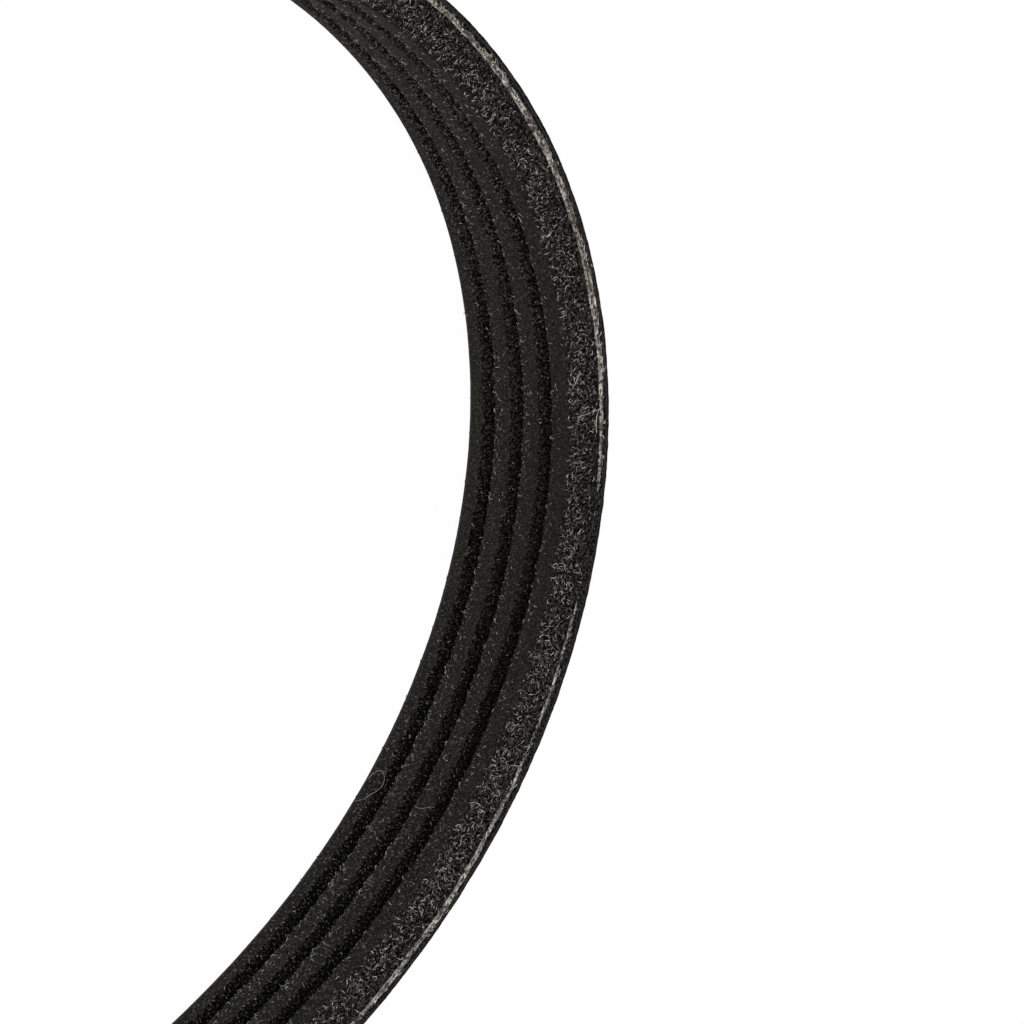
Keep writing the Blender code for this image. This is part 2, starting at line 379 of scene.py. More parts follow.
def scattered_fibres_tree():
    """Node tree that plants bent fibres on a surface where its attributes allow them."""
    tree, given, out = new_geometry_tree("scattered fibres", {
        "Fibre A": "NodeSocketObject",
        "Fibre B": "NodeSocketObject",
        "Fibre C": "NodeSocketObject",
        "Where": "NodeSocketString",
        "Stretch": "NodeSocketString",
        "Density": "NodeSocketFloat",
        "Patch Size": "NodeSocketFloat",
        "Patch Strength": "NodeSocketFloat",
        "Shortest": "NodeSocketFloat",
        "Longest": "NodeSocketFloat",
        "Most Yaw": "NodeSocketFloat",
        "Least Lift": "NodeSocketFloat",
        "Most Lift": "NodeSocketFloat",
        "Seed": "NodeSocketInt",
        "Material": "NodeSocketMaterial",
    })
    allowed = add(tree, "GeometryNodeInputNamedAttribute", {"Name": given["Where"]})
    stretch = add(tree, "GeometryNodeInputNamedAttribute", {"Name": given["Stretch"]})
    frequency = add(tree, "ShaderNodeMath", {0: 1.0, 1: given["Patch Size"]}, operation="DIVIDE")
    place = add(tree, "GeometryNodeInputPosition")
    blots = add(tree, "ShaderNodeTexNoise", {"Vector": place, "Scale": frequency, "Detail": 2.0})
    bald = add(tree, "ShaderNodeMapRange",
               {"Value": blots, "From Min": 0.35, "From Max": 0.65, "To Min": 1.0, "To Max": 0.0})
    thinned = add(tree, "ShaderNodeMath", {0: bald, 1: given["Patch Strength"]}, operation="MULTIPLY")
    kept = add(tree, "ShaderNodeMath", {0: 1.0, 1: thinned}, operation="SUBTRACT")
    left = add(tree, "ShaderNodeMath", {0: kept, 1: stretch}, operation="MULTIPLY")
    share = add(tree, "ShaderNodeMath", {0: left, 1: allowed}, operation="MULTIPLY")
    density = add(tree, "ShaderNodeMath", {0: share, 1: given["Density"]}, operation="MULTIPLY")
    roots = add(tree, "GeometryNodeDistributePointsOnFaces",
                {"Mesh": given["Geometry"], "Density": density, "Seed": given["Seed"]})
    least_yaw = add(tree, "ShaderNodeMath", {0: given["Most Yaw"], 1: -1.0}, operation="MULTIPLY")
    limits = {
        "yaw": (least_yaw, given["Most Yaw"]),
        "lift": (given["Least Lift"], given["Most Lift"]),
        "roll": (-1.4, 1.4),
        "scale": (given["Shortest"], given["Longest"]),
        "shade": (0.0, 1.0),
        "pick": (0.0, 1.0),
    }
    drawn = {}
    for number, (label, (low, high)) in enumerate(limits.items()):
        own = add(tree, "ShaderNodeMath", {0: given["Seed"], 1: 101.0 + 101.0 * number}, operation="ADD")
        drawn[label] = add(tree, "FunctionNodeRandomValue", {2: low, 3: high, "Seed": own},
                           data_type="FLOAT")
    run = add(tree, "GeometryNodeInputNamedAttribute", {"Name": "run"}, data_type="FLOAT_VECTOR")
    lined = add(tree, "FunctionNodeAlignRotationToVector",
                {"Rotation": roots.outputs["Rotation"], "Vector": run}, axis="X", pivot_axis="Z")
    down = add(tree, "ShaderNodeMath", {0: drawn["lift"], 1: -1.0}, operation="MULTIPLY")
    turn = add(tree, "ShaderNodeCombineXYZ", {0: drawn["roll"], 1: down, 2: drawn["yaw"]})
    euler = add(tree, "FunctionNodeEulerToRotation", {0: turn})
    posed = add(tree, "FunctionNodeRotateRotation", {0: lined, 1: euler}, rotation_space="LOCAL")
    kinds = add(tree, "GeometryNodeJoinGeometry")
    for label in ("Fibre A", "Fibre B", "Fibre C"):
        shape = add(tree, "GeometryNodeObjectInfo", {"Object": given[label], "As Instance": True})
        tree.links.new(shape.outputs["Geometry"], kinds.inputs[0])
    leaning = add(tree, "ShaderNodeMath", {0: drawn["pick"], 1: 2.0}, operation="POWER")
    choice = add(tree, "ShaderNodeMath", {0: leaning, 1: 2.999}, operation="MULTIPLY")
    planted = add(tree, "GeometryNodeInstanceOnPoints",
                  {"Points": roots, "Instance": kinds, "Pick Instance": True, "Instance Index": choice,
                   "Rotation": posed, "Scale": drawn["scale"]})
    shaded = add(tree, "GeometryNodeStoreNamedAttribute",
                 {"Geometry": planted, "Name": "shade", "Value": drawn["shade"]},
                 data_type="FLOAT", domain="INSTANCE")
    real = add(tree, "GeometryNodeRealizeInstances", {"Geometry": shaded})
    coated = add(tree, "GeometryNodeSetMaterial", {"Geometry": real, "Material": given["Material"]})
    tree.links.new(coated.outputs[0], out.inputs[0])
    return tree


def rounded(corners, longest):
    """Outline through corners of offset, height, fillet radius and steps, with long sides divided."""
    outline = []
    count = len(corners)
    for i, (offset, height, radius, steps) in enumerate(corners):
        here = np.array([offset, height])
        if not radius:
            outline.append(here)
            continue
        back = np.array(corners[i - 1][:2]) - here
        on = np.array(corners[(i + 1) % count][:2]) - here
        back /= np.linalg.norm(back)
        on /= np.linalg.norm(on)
        half = math.acos(np.clip(back @ on, -1.0, 1.0)) / 2
        middle = (back + on) / np.linalg.norm(back + on)
        centre = here + middle * radius / math.sin(half)
        first = here + back * radius / math.tan(half) - centre
        last = here + on * radius / math.tan(half) - centre
        for k in range(steps + 1):
            share = k / steps
            arc = first * (1 - share) + last * share
            outline.append(centre + arc * radius / np.linalg.norm(arc))
    divided = []
    for i, point in enumerate(outline):
        after = outline[(i + 1) % len(outline)]
        parts = max(1, math.ceil(np.linalg.norm(after - point) / longest))
        divided += [point + (after - point) * k / parts for k in range(parts)]
    return np.array(divided)


def belt_offsets():
    """Offsets of the belt's layers from the middle of the cord, towards the back."""
    size = sizes()
    cover_inner = size.cord_diameter / 2 + size.bond
    groove = -cover_inner - size.cushion
    return {
        "cover_outer": cover_inner + size.cover,
        "cover_inner": cover_inner,
        "groove": groove,
        "tip": groove - size.rib_depth,
    }


def rib_heights(rib):
    """Heights of the lower and upper edge of a rib's crest."""
    size = sizes()
    middle = LOWER_CUT + (rib + 0.5) * size.rib_pitch + size.ribs_off
    return middle - size.crest_width / 2, middle + size.crest_width / 2


def rib_count():
    """How many ribs the belt's width holds."""
    return round((UPPER_CUT - LOWER_CUT) / sizes().rib_pitch)


def ribbed_corners():
    """Corners of the rubber body, from the middle of its hidden outer side, by the low edge first."""
    size = sizes()
    at = belt_offsets()
    slope = math.tan(size.rib_angle / 2)
    flank = size.rib_depth * slope
    # The cut leaves a shallow hollow in both edges where the cord runs
    dish = 0.05 * MM
    dish_edges = (0.72 * MM, 0.62 * MM, -0.05 * MM, -0.20 * MM)
    groove_round = 0.16 * MM
    low_round = 0.09 * MM
    high_round = 0.20 * MM
    edge_round = 0.10 * MM
    worn_foot_round = 0.2 * MM
    worn_round = 0.3 * MM
    # A point more on each low flank, so that the zones change close to the crest
    flank_mark = 0.30 * MM
    middle = (LOWER_CUT + UPPER_CUT) / 2
    corners = [(at["cover_inner"], middle, 0, 0), (at["cover_inner"], LOWER_CUT, 0, 0)]
    for offset, inward in zip(dish_edges, (0, dish, dish, 0)):
        corners.append((offset, LOWER_CUT + inward, 0, 0))
    for rib in range(rib_count()):
        low, high = rib_heights(rib)
        if rib == 0:
            foot = max(LOWER_CUT, low - flank)
            corners.append((at["tip"] + (low - foot) / slope, foot, edge_round, 2))
            worn_foot = low - size.wear_depth * slope
            corners.append((at["tip"] + size.wear_depth, worn_foot, worn_foot_round, 2))
            corners.append((at["tip"], low + size.far_rib_wear, worn_round, 3))
        else:
            corners.append((at["groove"], low - flank, groove_round, 3))
            corners.append((at["tip"] + flank_mark, low - flank_mark * slope, 0, 0))
            corners.append((at["tip"], low, low_round, 3))
            corners.append((at["tip"], low + EDGE_RUN, 0, 0))
        corners.append((at["tip"], high - EDGE_RUN, 0, 0))
        corners.append((at["tip"], high, high_round, 3))
        if rib < rib_count() - 1:
            corners.append((at["groove"], high + flank, groove_round, 3))
    foot = min(UPPER_CUT, high + flank)
    corners.append((at["tip"] + (foot - high) / slope, foot, 0, 0))
    corners.append((at["groove"], UPPER_CUT, edge_round, 2))
    for offset, inward in zip(reversed(dish_edges), (0, dish, dish, 0)):
        corners.append((offset, UPPER_CUT - inward, 0, 0))
    corners.append((at["cover_inner"], UPPER_CUT, 0, 0))
    return corners


def between(values, low, high, soft):
    """1 between two limits, falling to 0 over a soft margin outside them."""
    rise = np.clip((values - low) / soft + 1, 0, 1)
    fall = np.clip((high - values) / soft + 1, 0, 1)
    return np.minimum(rise, fall)


def body_zones(outline):
    """How far each point of the body's outline belongs to each zone of the rubber.

    Most zones are 1 inside and fade to 0 over a margin. Deep grows from 0 at the ribs' tips to 1 at the
    grooves' bottoms, and the flank shade mask from 0 inside a crest over one half at its edge to 1 past
    it.
    The material paints shade on the flanks past that edge, and on the end flanks and cut edges that end
    marks.
    """
    at = belt_offsets()
    offset = outline[:, 0]
    height = outline[:, 1]
    last = rib_count() - 1
    first_low, first_high = rib_heights(0)
    _, last_high = rib_heights(last)
    depth = (offset - at["tip"]) / (at["groove"] - at["tip"])
    beyond = MM
    side_margin = 0.05 * MM
    flank_margin = 1.1 * MM
    near_side = between(height, last_high - 0.02 * MM, UPPER_CUT + beyond, side_margin)
    far_side = between(height, LOWER_CUT - beyond, first_low - 0.15 * MM, side_margin)
    bare = between(offset, at["tip"] - beyond, at["groove"] - 0.10 * MM, flank_margin)
    up_flank = np.clip((height - last_high) / (UPPER_CUT - last_high), 0, 1)
    inner = (offset < at["cover_inner"] - 0.01 * MM).astype(float)
    middle = (1 - near_side) * (1 - far_side)
    crest = between(depth, -1.0, 0.04, 0.06)
    past_worn_crest = height > first_high - MM
    unworn = np.clip((height - first_low - 0.7 * MM) / (1.2 * MM), 0, 1)
    on_walls = np.clip(1.15 - depth * 0.75, 0, 1) * (height > first_high)
    fringe_foot, fringe_top, fringe_margin = 0.04 * MM, 0.28 * MM, 0.10 * MM
    fringe = np.zeros(len(outline))
    brink = np.ones(len(outline))
    for rib in range(last + 1):
        low, high = rib_heights(rib)
        on_crest = between(height, low + EDGE_RUN, high - EDGE_RUN, 2 * EDGE_RUN)
        brink = np.minimum(brink, 1 - on_crest)
        if rib:
            at_edge = between(height, low + fringe_foot, low + fringe_top, fringe_margin)
            fringe = np.maximum(fringe, at_edge * (0.45 if rib == last else 0.9))
    return {
        "deep": np.clip(depth, 0, 1) * middle * inner,
        "brink": brink * middle * inner * past_worn_crest,
        "end": np.maximum(near_side, far_side) * (1 - crest) * inner,
        "near_flank": near_side * bare * (1 - crest) * (1.2 - 0.55 * up_flank),
        "far_flank": far_side * bare * (depth > 0.3),
        "groove": middle * (1 - crest) * inner * on_walls,
        "tread": crest * (1 - near_side) * unworn,
        "fringe": fringe,
    }


def section_object(name, outline, zones):
    """The outline of a section as a closed wire, turned as the sweep needs it, with its zones."""
    points = np.stack([outline[:, 0], -outline[:, 1], np.zeros(len(outline))], axis=1)
    edges = [(i, (i + 1) % len(points)) for i in range(len(points))]
    wire = mesh_object(name, points, edges)
    steps = np.linalg.norm(np.diff(outline, axis=0), axis=1)
    write_attribute(wire, "across", "FLOAT", np.concatenate([[0.0], np.cumsum(steps)]))
    for zone, values in zones.items():
        write_attribute(wire, zone, "FLOAT", values)
    return wire


def way_on(outward):
    """Directions along the loop where these directions point out of it."""
    return np.column_stack([-outward[:, 1], outward[:, 0], np.zeros(len(outward))])


def path_object(name, marks, heights, closed):
    """The line of the cord's middle at some distances round the loop, with the attributes of its way."""
    loop = Loop(sizes())
    points, outward = loop.place(marks)
    space = np.column_stack([points, np.broadcast_to(heights, marks.shape)])
    edges = [(i, i + 1) for i in range(len(marks) - 1)]
    if closed:
        edges.append((len(marks) - 1, 0))
    wire = mesh_object(name, space, edges)
    write_attribute(wire, "along", "FLOAT", marks)
    write_attribute(wire, "run", "FLOAT_VECTOR", way_on(outward))
    write_attribute(wire, "linty", "FLOAT", linty_stretch(marks))
    write_attribute(wire, "littered", "FLOAT", littered_stretch(marks))
    write_attribute(wire, "dusty", "FLOAT", dusty_stretch(marks))
    return wire


def from_nose(marks):
    """Distances from the middle of the +X nose, counted both ways from there."""
    half = sizes().loop_length / 2
    return np.mod(marks + half, 2 * half) - half


def linty_stretch(marks):
    """1 on the nose that lay against nothing, falling to the combed share where pulleys rub the belt."""
    untouched_reach = 68 * MM
    fade = 40 * MM
    fall = np.clip((np.abs(from_nose(marks)) - untouched_reach) / fade, 0, 1)
    return 1 - (1 - fibres().combed) * fall * fall * (3 - 2 * fall)


def littered_stretch(marks):
    """How much lint lies on the crests: as on the flanks, but with a stretch wiped nearly clean."""
    wiped_middle = -10 * MM
    wiped_reach = 26 * MM
    wiped_share = 0.72
    wiped = np.exp(-(((from_nose(marks) - wiped_middle) / wiped_reach) ** 4))
    return linty_stretch(marks) * (1 - wiped_share * wiped)


def dusty_stretch(marks):
    """How much lint the grooves hold: most just past the nose, where the belt was flexed last."""
    dusty_middle = 40 * MM
    dusty_reach = 45 * MM
    return 0.25 + 1.5 * np.exp(-(((from_nose(marks) - dusty_middle) / dusty_reach) ** 2))


def sweep(name, path, section, material, skin_depth, skin_grain):
    """Carry a section along a path and keep the plain mesh."""
    tree = bpy.data.node_groups.get("swept band") or swept_band_tree()
    grow(path, tree, {
        "Section": section,
        "Skin Depth": skin_depth,
        "Skin Grain": skin_grain,
        "Lowest": LOWER_CUT,
        "Loop Length": sizes().loop_length,
        "Material": material,
    })
    drop(section)
    path.name = name
    path.data.name = name
    return path


def fibre_shape(name, spine, thickness):
    """A thin three-sided fibre along a spine, pointed at both ends, counted in lengths of the fibre."""
    sides = 3
    spine = np.array(spine, float)
    points = [spine[0]]
    for i in range(1, len(spine) - 1):
        on = spine[i + 1] - spine[i - 1]
        on /= np.linalg.norm(on)
        side = np.array([0.0, 1.0, 0.0])
        up = np.cross(on, side)
        up /= np.linalg.norm(up)
        for corner in range(sides):
            angle = 2 * math.pi * corner / sides
            points.append(spine[i] + (side * math.cos(angle) + up * math.sin(angle)) * thickness / 2)
    points.append(spine[-1])
    faces = []
    rings = len(spine) - 2
    tail = 1 + sides * (rings - 1)
    for corner in range(sides):
        after = (corner + 1) % sides
        faces.append((0, 1 + after, 1 + corner))
        for ring in range(rings - 1):
            here = 1 + sides * ring
            there = here + sides
            faces.append((here + corner, here + after, there + after, there + corner))
        faces.append((tail + corner, tail + after, len(points) - 1))
    shape = mesh_object(name, points, (), faces)
    shape.data.shade_smooth()
    return shape


def fibre_kinds(thickness, short):
    """Three shapes of fibre, each one fibre length long. Short ones bend less and need fewer faces."""
    splinter = [(-0.48, 0, -0.02), (0.05, 0.05, 0.13), (0.50, 0, 0.00)]
    bow = [(-0.50, 0, -0.03), (-0.18, 0.02, 0.10), (0.20, -0.02, 0.11), (0.50, 0, 0.02)]
    hook = [(-0.42, 0, -0.03), (-0.12, 0.03, 0.12), (0.20, 0.02, 0.22), (0.40, -0.06, 0.10),
            (0.34, -0.10, -0.01)]
    curl = [(-0.40, 0, -0.03), (-0.15, 0.10, 0.10), (0.12, 0.16, 0.22), (0.34, 0.02, 0.26),
            (0.28, -0.16, 0.18), (0.10, -0.20, 0.10)]
    spines = (splinter, bow, hook) if short else (bow, hook, curl)
    return [fibre_shape("fibre", spine, thickness) for spine in spines]


def scatter(name, ground, where, material, seed, density, lengths, lift, yaw, patch, thickness,
            stretch="linty", short=False):
    """Plant fibres on a copy of a piece, where its attributes allow them, and keep the plain mesh."""
    tree = bpy.data.node_groups.get("scattered fibres") or scattered_fibres_tree()
    usual = (lengths[0] + lengths[1]) / 2
    kinds = fibre_kinds(thickness / usual, short)
    planted = link(bpy.data.objects.new(name, ground.data.copy()))
    planted.data.name = name
    grow(planted, tree, {
        "Fibre A": kinds[0],
        "Fibre B": kinds[1],
        "Fibre C": kinds[2],
        "Where": where,
        "Stretch": stretch,
        "Density": density / MM ** 2,
        "Patch Size": patch[0],
        "Patch Strength": patch[1],
        "Shortest": lengths[0],
        "Longest": lengths[1],
        "Most Yaw": yaw,
        "Least Lift": lift[0],
        "Most Lift": lift[1],
        "Seed": fibres().seed + seed,
        "Material": material,
    })
    drop(*kinds)
    clamp_heights(planted, LOWER_CUT + FIBRE_CLEARANCE, UPPER_CUT + FIBRE_RISE)
    return planted


def clamp_heights(piece, lowest, highest):
    """Hold a piece between two heights."""
    count = len(piece.data.vertices)
    flat = np.empty(3 * count, np.float32)
    piece.data.vertices.foreach_get("co", flat)
    points = flat.reshape(count, 3)
    points[:, 2] = np.clip(points[:, 2], lowest, highest)
    piece.data.vertices.foreach_set("co", points.ravel())
    piece.data.update()


def new_material(name):
    """An empty node material and its tree."""
    made = bpy.data.materials.new(name)
    made.use_nodes = True
    made.node_tree.nodes.clear()
    return made, made.node_tree


def stretched(tree, along, across):
    """The piece's own chart, counted in grains of a length along the belt and a width across it."""
    chart = add(tree, "ShaderNodeUVMap", uv_map="UVMap")
    return add(tree, "ShaderNodeMapping", {"Vector": chart, "Scale": (1 / along, 1 / across, 1.0)},
               vector_type="POINT")


def curled_lines(tree, place, curl, thin):
    """Short curled pale lines, like flock too fine to model: where a noise passes its middle value."""
    level = add(tree, "ShaderNodeTexNoise", {"Vector": place, "Scale": 1 / curl, "Detail": 1.0})
    past = add(tree, "ShaderNodeMath", {0: level, 1: 0.5}, operation="SUBTRACT")
    away = add(tree, "ShaderNodeMath", {0: past}, operation="ABSOLUTE")
    line = add(tree, "ShaderNodeMapRange", {"Value": away, "From Max": thin, "To Min": 1.0, "To Max": 0.0})
    elsewhere = (0.7, 0.3, 0.5)
    moved = add(tree, "ShaderNodeVectorMath", {0: place, 1: elsewhere}, operation="ADD")
    other = add(tree, "ShaderNodeTexNoise", {"Vector": moved, "Scale": 1.25 / curl, "Detail": 1.0})
    broken = add(tree, "ShaderNodeMapRange", {"Value": other, "From Min": 0.50, "From Max": 0.60})
    return add(tree, "ShaderNodeMath", {0: line, 1: broken}, operation="MULTIPLY")


def ground_rubber():
    """Ribbed side: EPDM rubber filled with short chopped fibre, cured as a sleeve and then ground.

    Grinding leaves it matt and finely torn, with pale dust where it is touched and the ends of cut
    fibres as small light flecks. The flanks past the crests' edges, the end flanks and the cut edges
    get a painted shade in near-black rubber colour.
    """
    mottle_size = 3 * MM
    edge_wander_size = 0.40 * MM
    # Grinding grit is near 0.1 mm and a cut fibre's end near 0.02 mm, too fine to show, so the grit
    # is drawn at twice its size and the ends as flecks of 0.2 to 0.3 mm.
    grit_size = 0.24 * MM
    fleck_along, fleck_across = 0.18 * MM, 0.30 * MM
    torn_size = 0.10 * MM
    long_curl, short_curl = 0.42 * MM, 0.24 * MM
    dust_height = 14 * MM
    paint = colours()
    made, tree = new_material("ground_epdm_rubber")
    place = add(tree, "ShaderNodeTexCoord").outputs["Object"]
    deep = add(tree, "ShaderNodeAttribute", attribute_name="deep").outputs["Fac"]
    end = add(tree, "ShaderNodeAttribute", attribute_name="end").outputs["Fac"]
    littered = add(tree, "ShaderNodeAttribute", attribute_name="littered").outputs["Fac"]
    dusty_way = add(tree, "ShaderNodeAttribute", attribute_name="dusty").outputs["Fac"]
    brink = add(tree, "ShaderNodeAttribute", attribute_name="brink").outputs["Fac"]
    mottle = add(tree, "ShaderNodeTexNoise", {"Vector": place, "Scale": 1 / mottle_size, "Detail": 3.0})
    grit = add(tree, "ShaderNodeTexNoise",
               {"Vector": place, "Scale": 1 / grit_size, "Detail": 3.0, "Roughness": 0.75})
    blots = add(tree, "ShaderNodeMapRange",
                {"Value": mottle, "From Min": 0.3, "From Max": 0.7, "To Min": 0.5})
    grains = add(tree, "ShaderNodeMapRange", {"Value": grit, "From Min": 0.40, "From Max": 0.62})
    swept = add(tree, "ShaderNodeMapRange",
                {"Value": littered, "From Min": 0.28, "From Max": 1.0, "To Min": 0.9, "To Max": 0.45})
    height = add(tree, "ShaderNodeSeparateXYZ", {0: place}).outputs["Z"]
    settled = add(tree, "ShaderNodeMapRange",
                  {"Value": height, "From Max": dust_height, "To Min": 1.35, "To Max": 0.70})
    touched = add(tree, "ShaderNodeMath", {0: swept, 1: settled}, operation="MULTIPLY")
    thin = add(tree, "ShaderNodeMath", {0: blots, 1: touched}, operation="MULTIPLY")
    dusty = add(tree, "ShaderNodeMath", {0: thin, 1: grains}, operation="MULTIPLY")
    skin = add(tree, "ShaderNodeMix", {0: dusty, 6: tuple(paint.rubber), 7: tuple(paint.rubber_dust)},
               data_type="RGBA")
    # Painted shade: past each crest's ragged edge, and on the end flanks and cut edges, the skin turns to
    # the near-black groove colour
    wander = add(tree, "ShaderNodeTexNoise",
                 {"Vector": place, "Scale": 1 / edge_wander_size, "Detail": 3.0})
    ragged_shade_edge = add(tree, "ShaderNodeMath", {0: wander, 1: 1.8, 2: brink}, operation="MULTIPLY_ADD")
    past_edge = add(tree, "ShaderNodeMapRange", {"Value": ragged_shade_edge, "From Min": 1.36, "From Max": 1.46})
    painted_shade = add(tree, "ShaderNodeMath", {0: past_edge, 1: end}, operation="MAXIMUM")
    dark = add(tree, "ShaderNodeMix", {0: painted_shade, 6: skin, 7: tuple(paint.groove)}, data_type="RGBA")
    # Fewer pale curls deeper in the grooves: partly less lint, partly painted shade
    wall = add(tree, "ShaderNodeMapRange",
               {"Value": deep, "From Min": 0.1, "From Max": 0.8, "To Min": 0.11, "To Max": 0.035})
    laden = add(tree, "ShaderNodeMath", {0: wall, 1: dusty_way}, operation="MULTIPLY")
    near = add(tree, "ShaderNodeMath", {0: end, 1: 0.10}, operation="MULTIPLY")
    top = add(tree, "ShaderNodeMath", {0: littered, 1: 0.018, 2: 0.032}, operation="MULTIPLY_ADD")
    open_side = add(tree, "ShaderNodeMath", {0: near, 1: top}, operation="MAXIMUM")
    amount = add(tree, "ShaderNodeMix", {0: past_edge, 2: open_side, 3: laden}, data_type="FLOAT")
    long_lines = curled_lines(tree, place, long_curl, 0.07)
    short_lines = curled_lines(tree, place, short_curl, 0.09)
    lines = add(tree, "ShaderNodeMath", {0: long_lines, 1: short_lines}, operation="MAXIMUM")
    fuzz = add(tree, "ShaderNodeMath", {0: lines, 1: amount}, operation="MULTIPLY")
    chopped = add(tree, "ShaderNodeTexNoise",
                  {"Vector": stretched(tree, fleck_along, fleck_across), "Scale": 1.0})
    ends = add(tree, "ShaderNodeMapRange",
               {"Value": chopped, "From Min": 0.59, "From Max": 0.69, "To Max": 0.16})
    spread = add(tree, "ShaderNodeMath", {0: littered, 1: 0.55, 2: 0.45}, operation="MULTIPLY_ADD")
    strewn = add(tree, "ShaderNodeMath", {0: spread, 1: settled}, operation="MULTIPLY")
    flecks = add(tree, "ShaderNodeMath", {0: ends, 1: strewn}, operation="MULTIPLY")
    pale = add(tree, "ShaderNodeMath", {0: flecks, 1: fuzz}, operation="MAXIMUM")
    speckled = add(tree, "ShaderNodeMix", {0: pale, 6: dark, 7: tuple(paint.flock)}, data_type="RGBA")
    rough = add(tree, "ShaderNodeMapRange",
                {"Value": mottle, "From Min": 0.3, "From Max": 0.7, "To Min": 0.78, "To Max": 0.92})
    torn = add(tree, "ShaderNodeTexNoise", {"Vector": place, "Scale": 1 / torn_size})
    relief = add(tree, "ShaderNodeMath", {0: torn, 1: 0.5, 2: grit}, operation="MULTIPLY_ADD")
    bump = add(tree, "ShaderNodeBump", {"Strength": 0.6, "Distance": 0.05 * MM, "Height": relief})
    # The specular level drops where the shade is painted, keeping the painted shade dark in reflection too
    sheen = add(tree, "ShaderNodeMapRange", {"Value": painted_shade, "To Min": 0.10, "To Max": 0.02})
    surface = add(tree, "ShaderNodeBsdfPrincipled",
                  {"Base Color": speckled, "Roughness": rough, "Normal": bump,
                   "Specular IOR Level": sheen})
    add(tree, "ShaderNodeOutputMaterial", {"Surface": surface})
    return made


def moulded_rubber():
    """Back cover: rubber moulded against the fabric jacket of the curing drum.

    It is a little smoother than the ribs, with a fine woven print that wear has half polished away.
    """
    thread_spacing = 0.55 * MM
    mottle_size = 6 * MM
    grit_size = 0.25 * MM
    paint = colours()
    made, tree = new_material("moulded_back_rubber")
    place = add(tree, "ShaderNodeTexCoord").outputs["Object"]
    threads = stretched(tree, thread_spacing, thread_spacing)
    warp, weft = [
        add(tree, "ShaderNodeTexWave", {"Vector": threads, "Scale": 0.5, "Distortion": 0.6},
            bands_direction=way).outputs["Fac"]
        for way in ("X", "Y")
    ]
    weave = add(tree, "ShaderNodeMath", {0: warp, 1: weft}, operation="MULTIPLY")
    mottle = add(tree, "ShaderNodeTexNoise", {"Vector": place, "Scale": 1 / mottle_size, "Detail": 3.0})
    grit = add(tree, "ShaderNodeTexNoise",
               {"Vector": place, "Scale": 1 / grit_size, "Detail": 3.0, "Roughness": 0.7})
    blots = add(tree, "ShaderNodeMapRange",
                {"Value": mottle, "From Min": 0.3, "From Max": 0.7, "To Min": 0.1, "To Max": 0.7})
    grains = add(tree, "ShaderNodeMapRange", {"Value": grit, "From Min": 0.3, "From Max": 0.8})
    dusty = add(tree, "ShaderNodeMath", {0: blots, 1: grains}, operation="MULTIPLY")
    skin = add(tree, "ShaderNodeMix", {0: dusty, 6: tuple(paint.cover), 7: tuple(paint.rubber_dust)},
               data_type="RGBA")
    unworn = add(tree, "ShaderNodeMapRange",
                 {"Value": mottle, "From Min": 0.35, "From Max": 0.65, "To Min": 1.0, "To Max": 0.35})
    rough = add(tree, "ShaderNodeMapRange",
                {"Value": mottle, "From Min": 0.35, "From Max": 0.65, "To Min": 0.75, "To Max": 0.55})
    printed = add(tree, "ShaderNodeMath", {0: weave, 1: unworn}, operation="MULTIPLY")
    relief = add(tree, "ShaderNodeMath", {0: grit, 1: 0.5, 2: printed}, operation="MULTIPLY_ADD")
    bump = add(tree, "ShaderNodeBump", {"Strength": 0.5, "Distance": 0.06 * MM, "Height": relief})
    surface = add(tree, "ShaderNodeBsdfPrincipled",
                  {"Base Color": skin, "Roughness": rough, "Normal": bump, "Specular IOR Level": 0.2})
    add(tree, "ShaderNodeOutputMaterial", {"Surface": surface})
    return made


def twisted_polyester():
    """Cord: polyester yarn, twisted, dipped in resin and wound into the belt.

    Where the cut has opened it the filaments lie as pale cream streaks with rubber dust between them.
    """
    # One filament is about 0.02 mm wide, too fine to show, so the streaks are drawn four times as wide.
    streak_length, streak_width = 1.5 * MM, 0.08 * MM
    stain_size = 1.3 * MM
    crumb_size = 0.30 * MM
    paint = colours()
    made, tree = new_material("twisted_polyester_cord")
    place = add(tree, "ShaderNodeTexCoord").outputs["Object"]
    washed = add(tree, "ShaderNodeAttribute", attribute_name="clean").outputs["Fac"]
    streak = add(tree, "ShaderNodeTexNoise",
                 {"Vector": stretched(tree, streak_length, streak_width), "Scale": 1.0, "Detail": 3.0,
                  "Roughness": 0.7})
    blot = add(tree, "ShaderNodeTexNoise", {"Vector": place, "Scale": 1 / stain_size, "Detail": 3.0})
    crumb = add(tree, "ShaderNodeTexNoise", {"Vector": place, "Scale": 1 / crumb_size})
    yarn = add(tree, "ShaderNodeMapRange",
               {"Value": streak, "From Min": 0.40, "From Max": 0.58, "To Min": 0.1})
    soiled = add(tree, "ShaderNodeMapRange",
                 {"Value": blot, "From Min": 0.36, "From Max": 0.60, "To Min": 0.25})
    held = add(tree, "ShaderNodeMath", {0: washed, 1: 0.35, 2: crumb}, operation="MULTIPLY_ADD")
    freckled = add(tree, "ShaderNodeMapRange",
                   {"Value": held, "From Min": 0.66, "From Max": 0.76, "To Min": 0.05})
    cleaned = add(tree, "ShaderNodeMath", {0: yarn, 1: soiled}, operation="MULTIPLY")
    clean = add(tree, "ShaderNodeMath", {0: cleaned, 1: freckled}, operation="MULTIPLY")
    skin = add(tree, "ShaderNodeMix", {0: clean, 6: tuple(paint.cord_dirt), 7: tuple(paint.cord)},
               data_type="RGBA")
    bump = add(tree, "ShaderNodeBump", {"Strength": 0.7, "Distance": 0.05 * MM, "Height": streak})
    surface = add(tree, "ShaderNodeBsdfPrincipled",
                  {"Base Color": skin, "Roughness": 0.75, "Normal": bump, "Specular IOR Level": 0.2})
    add(tree, "ShaderNodeOutputMaterial", {"Surface": surface})
    return made


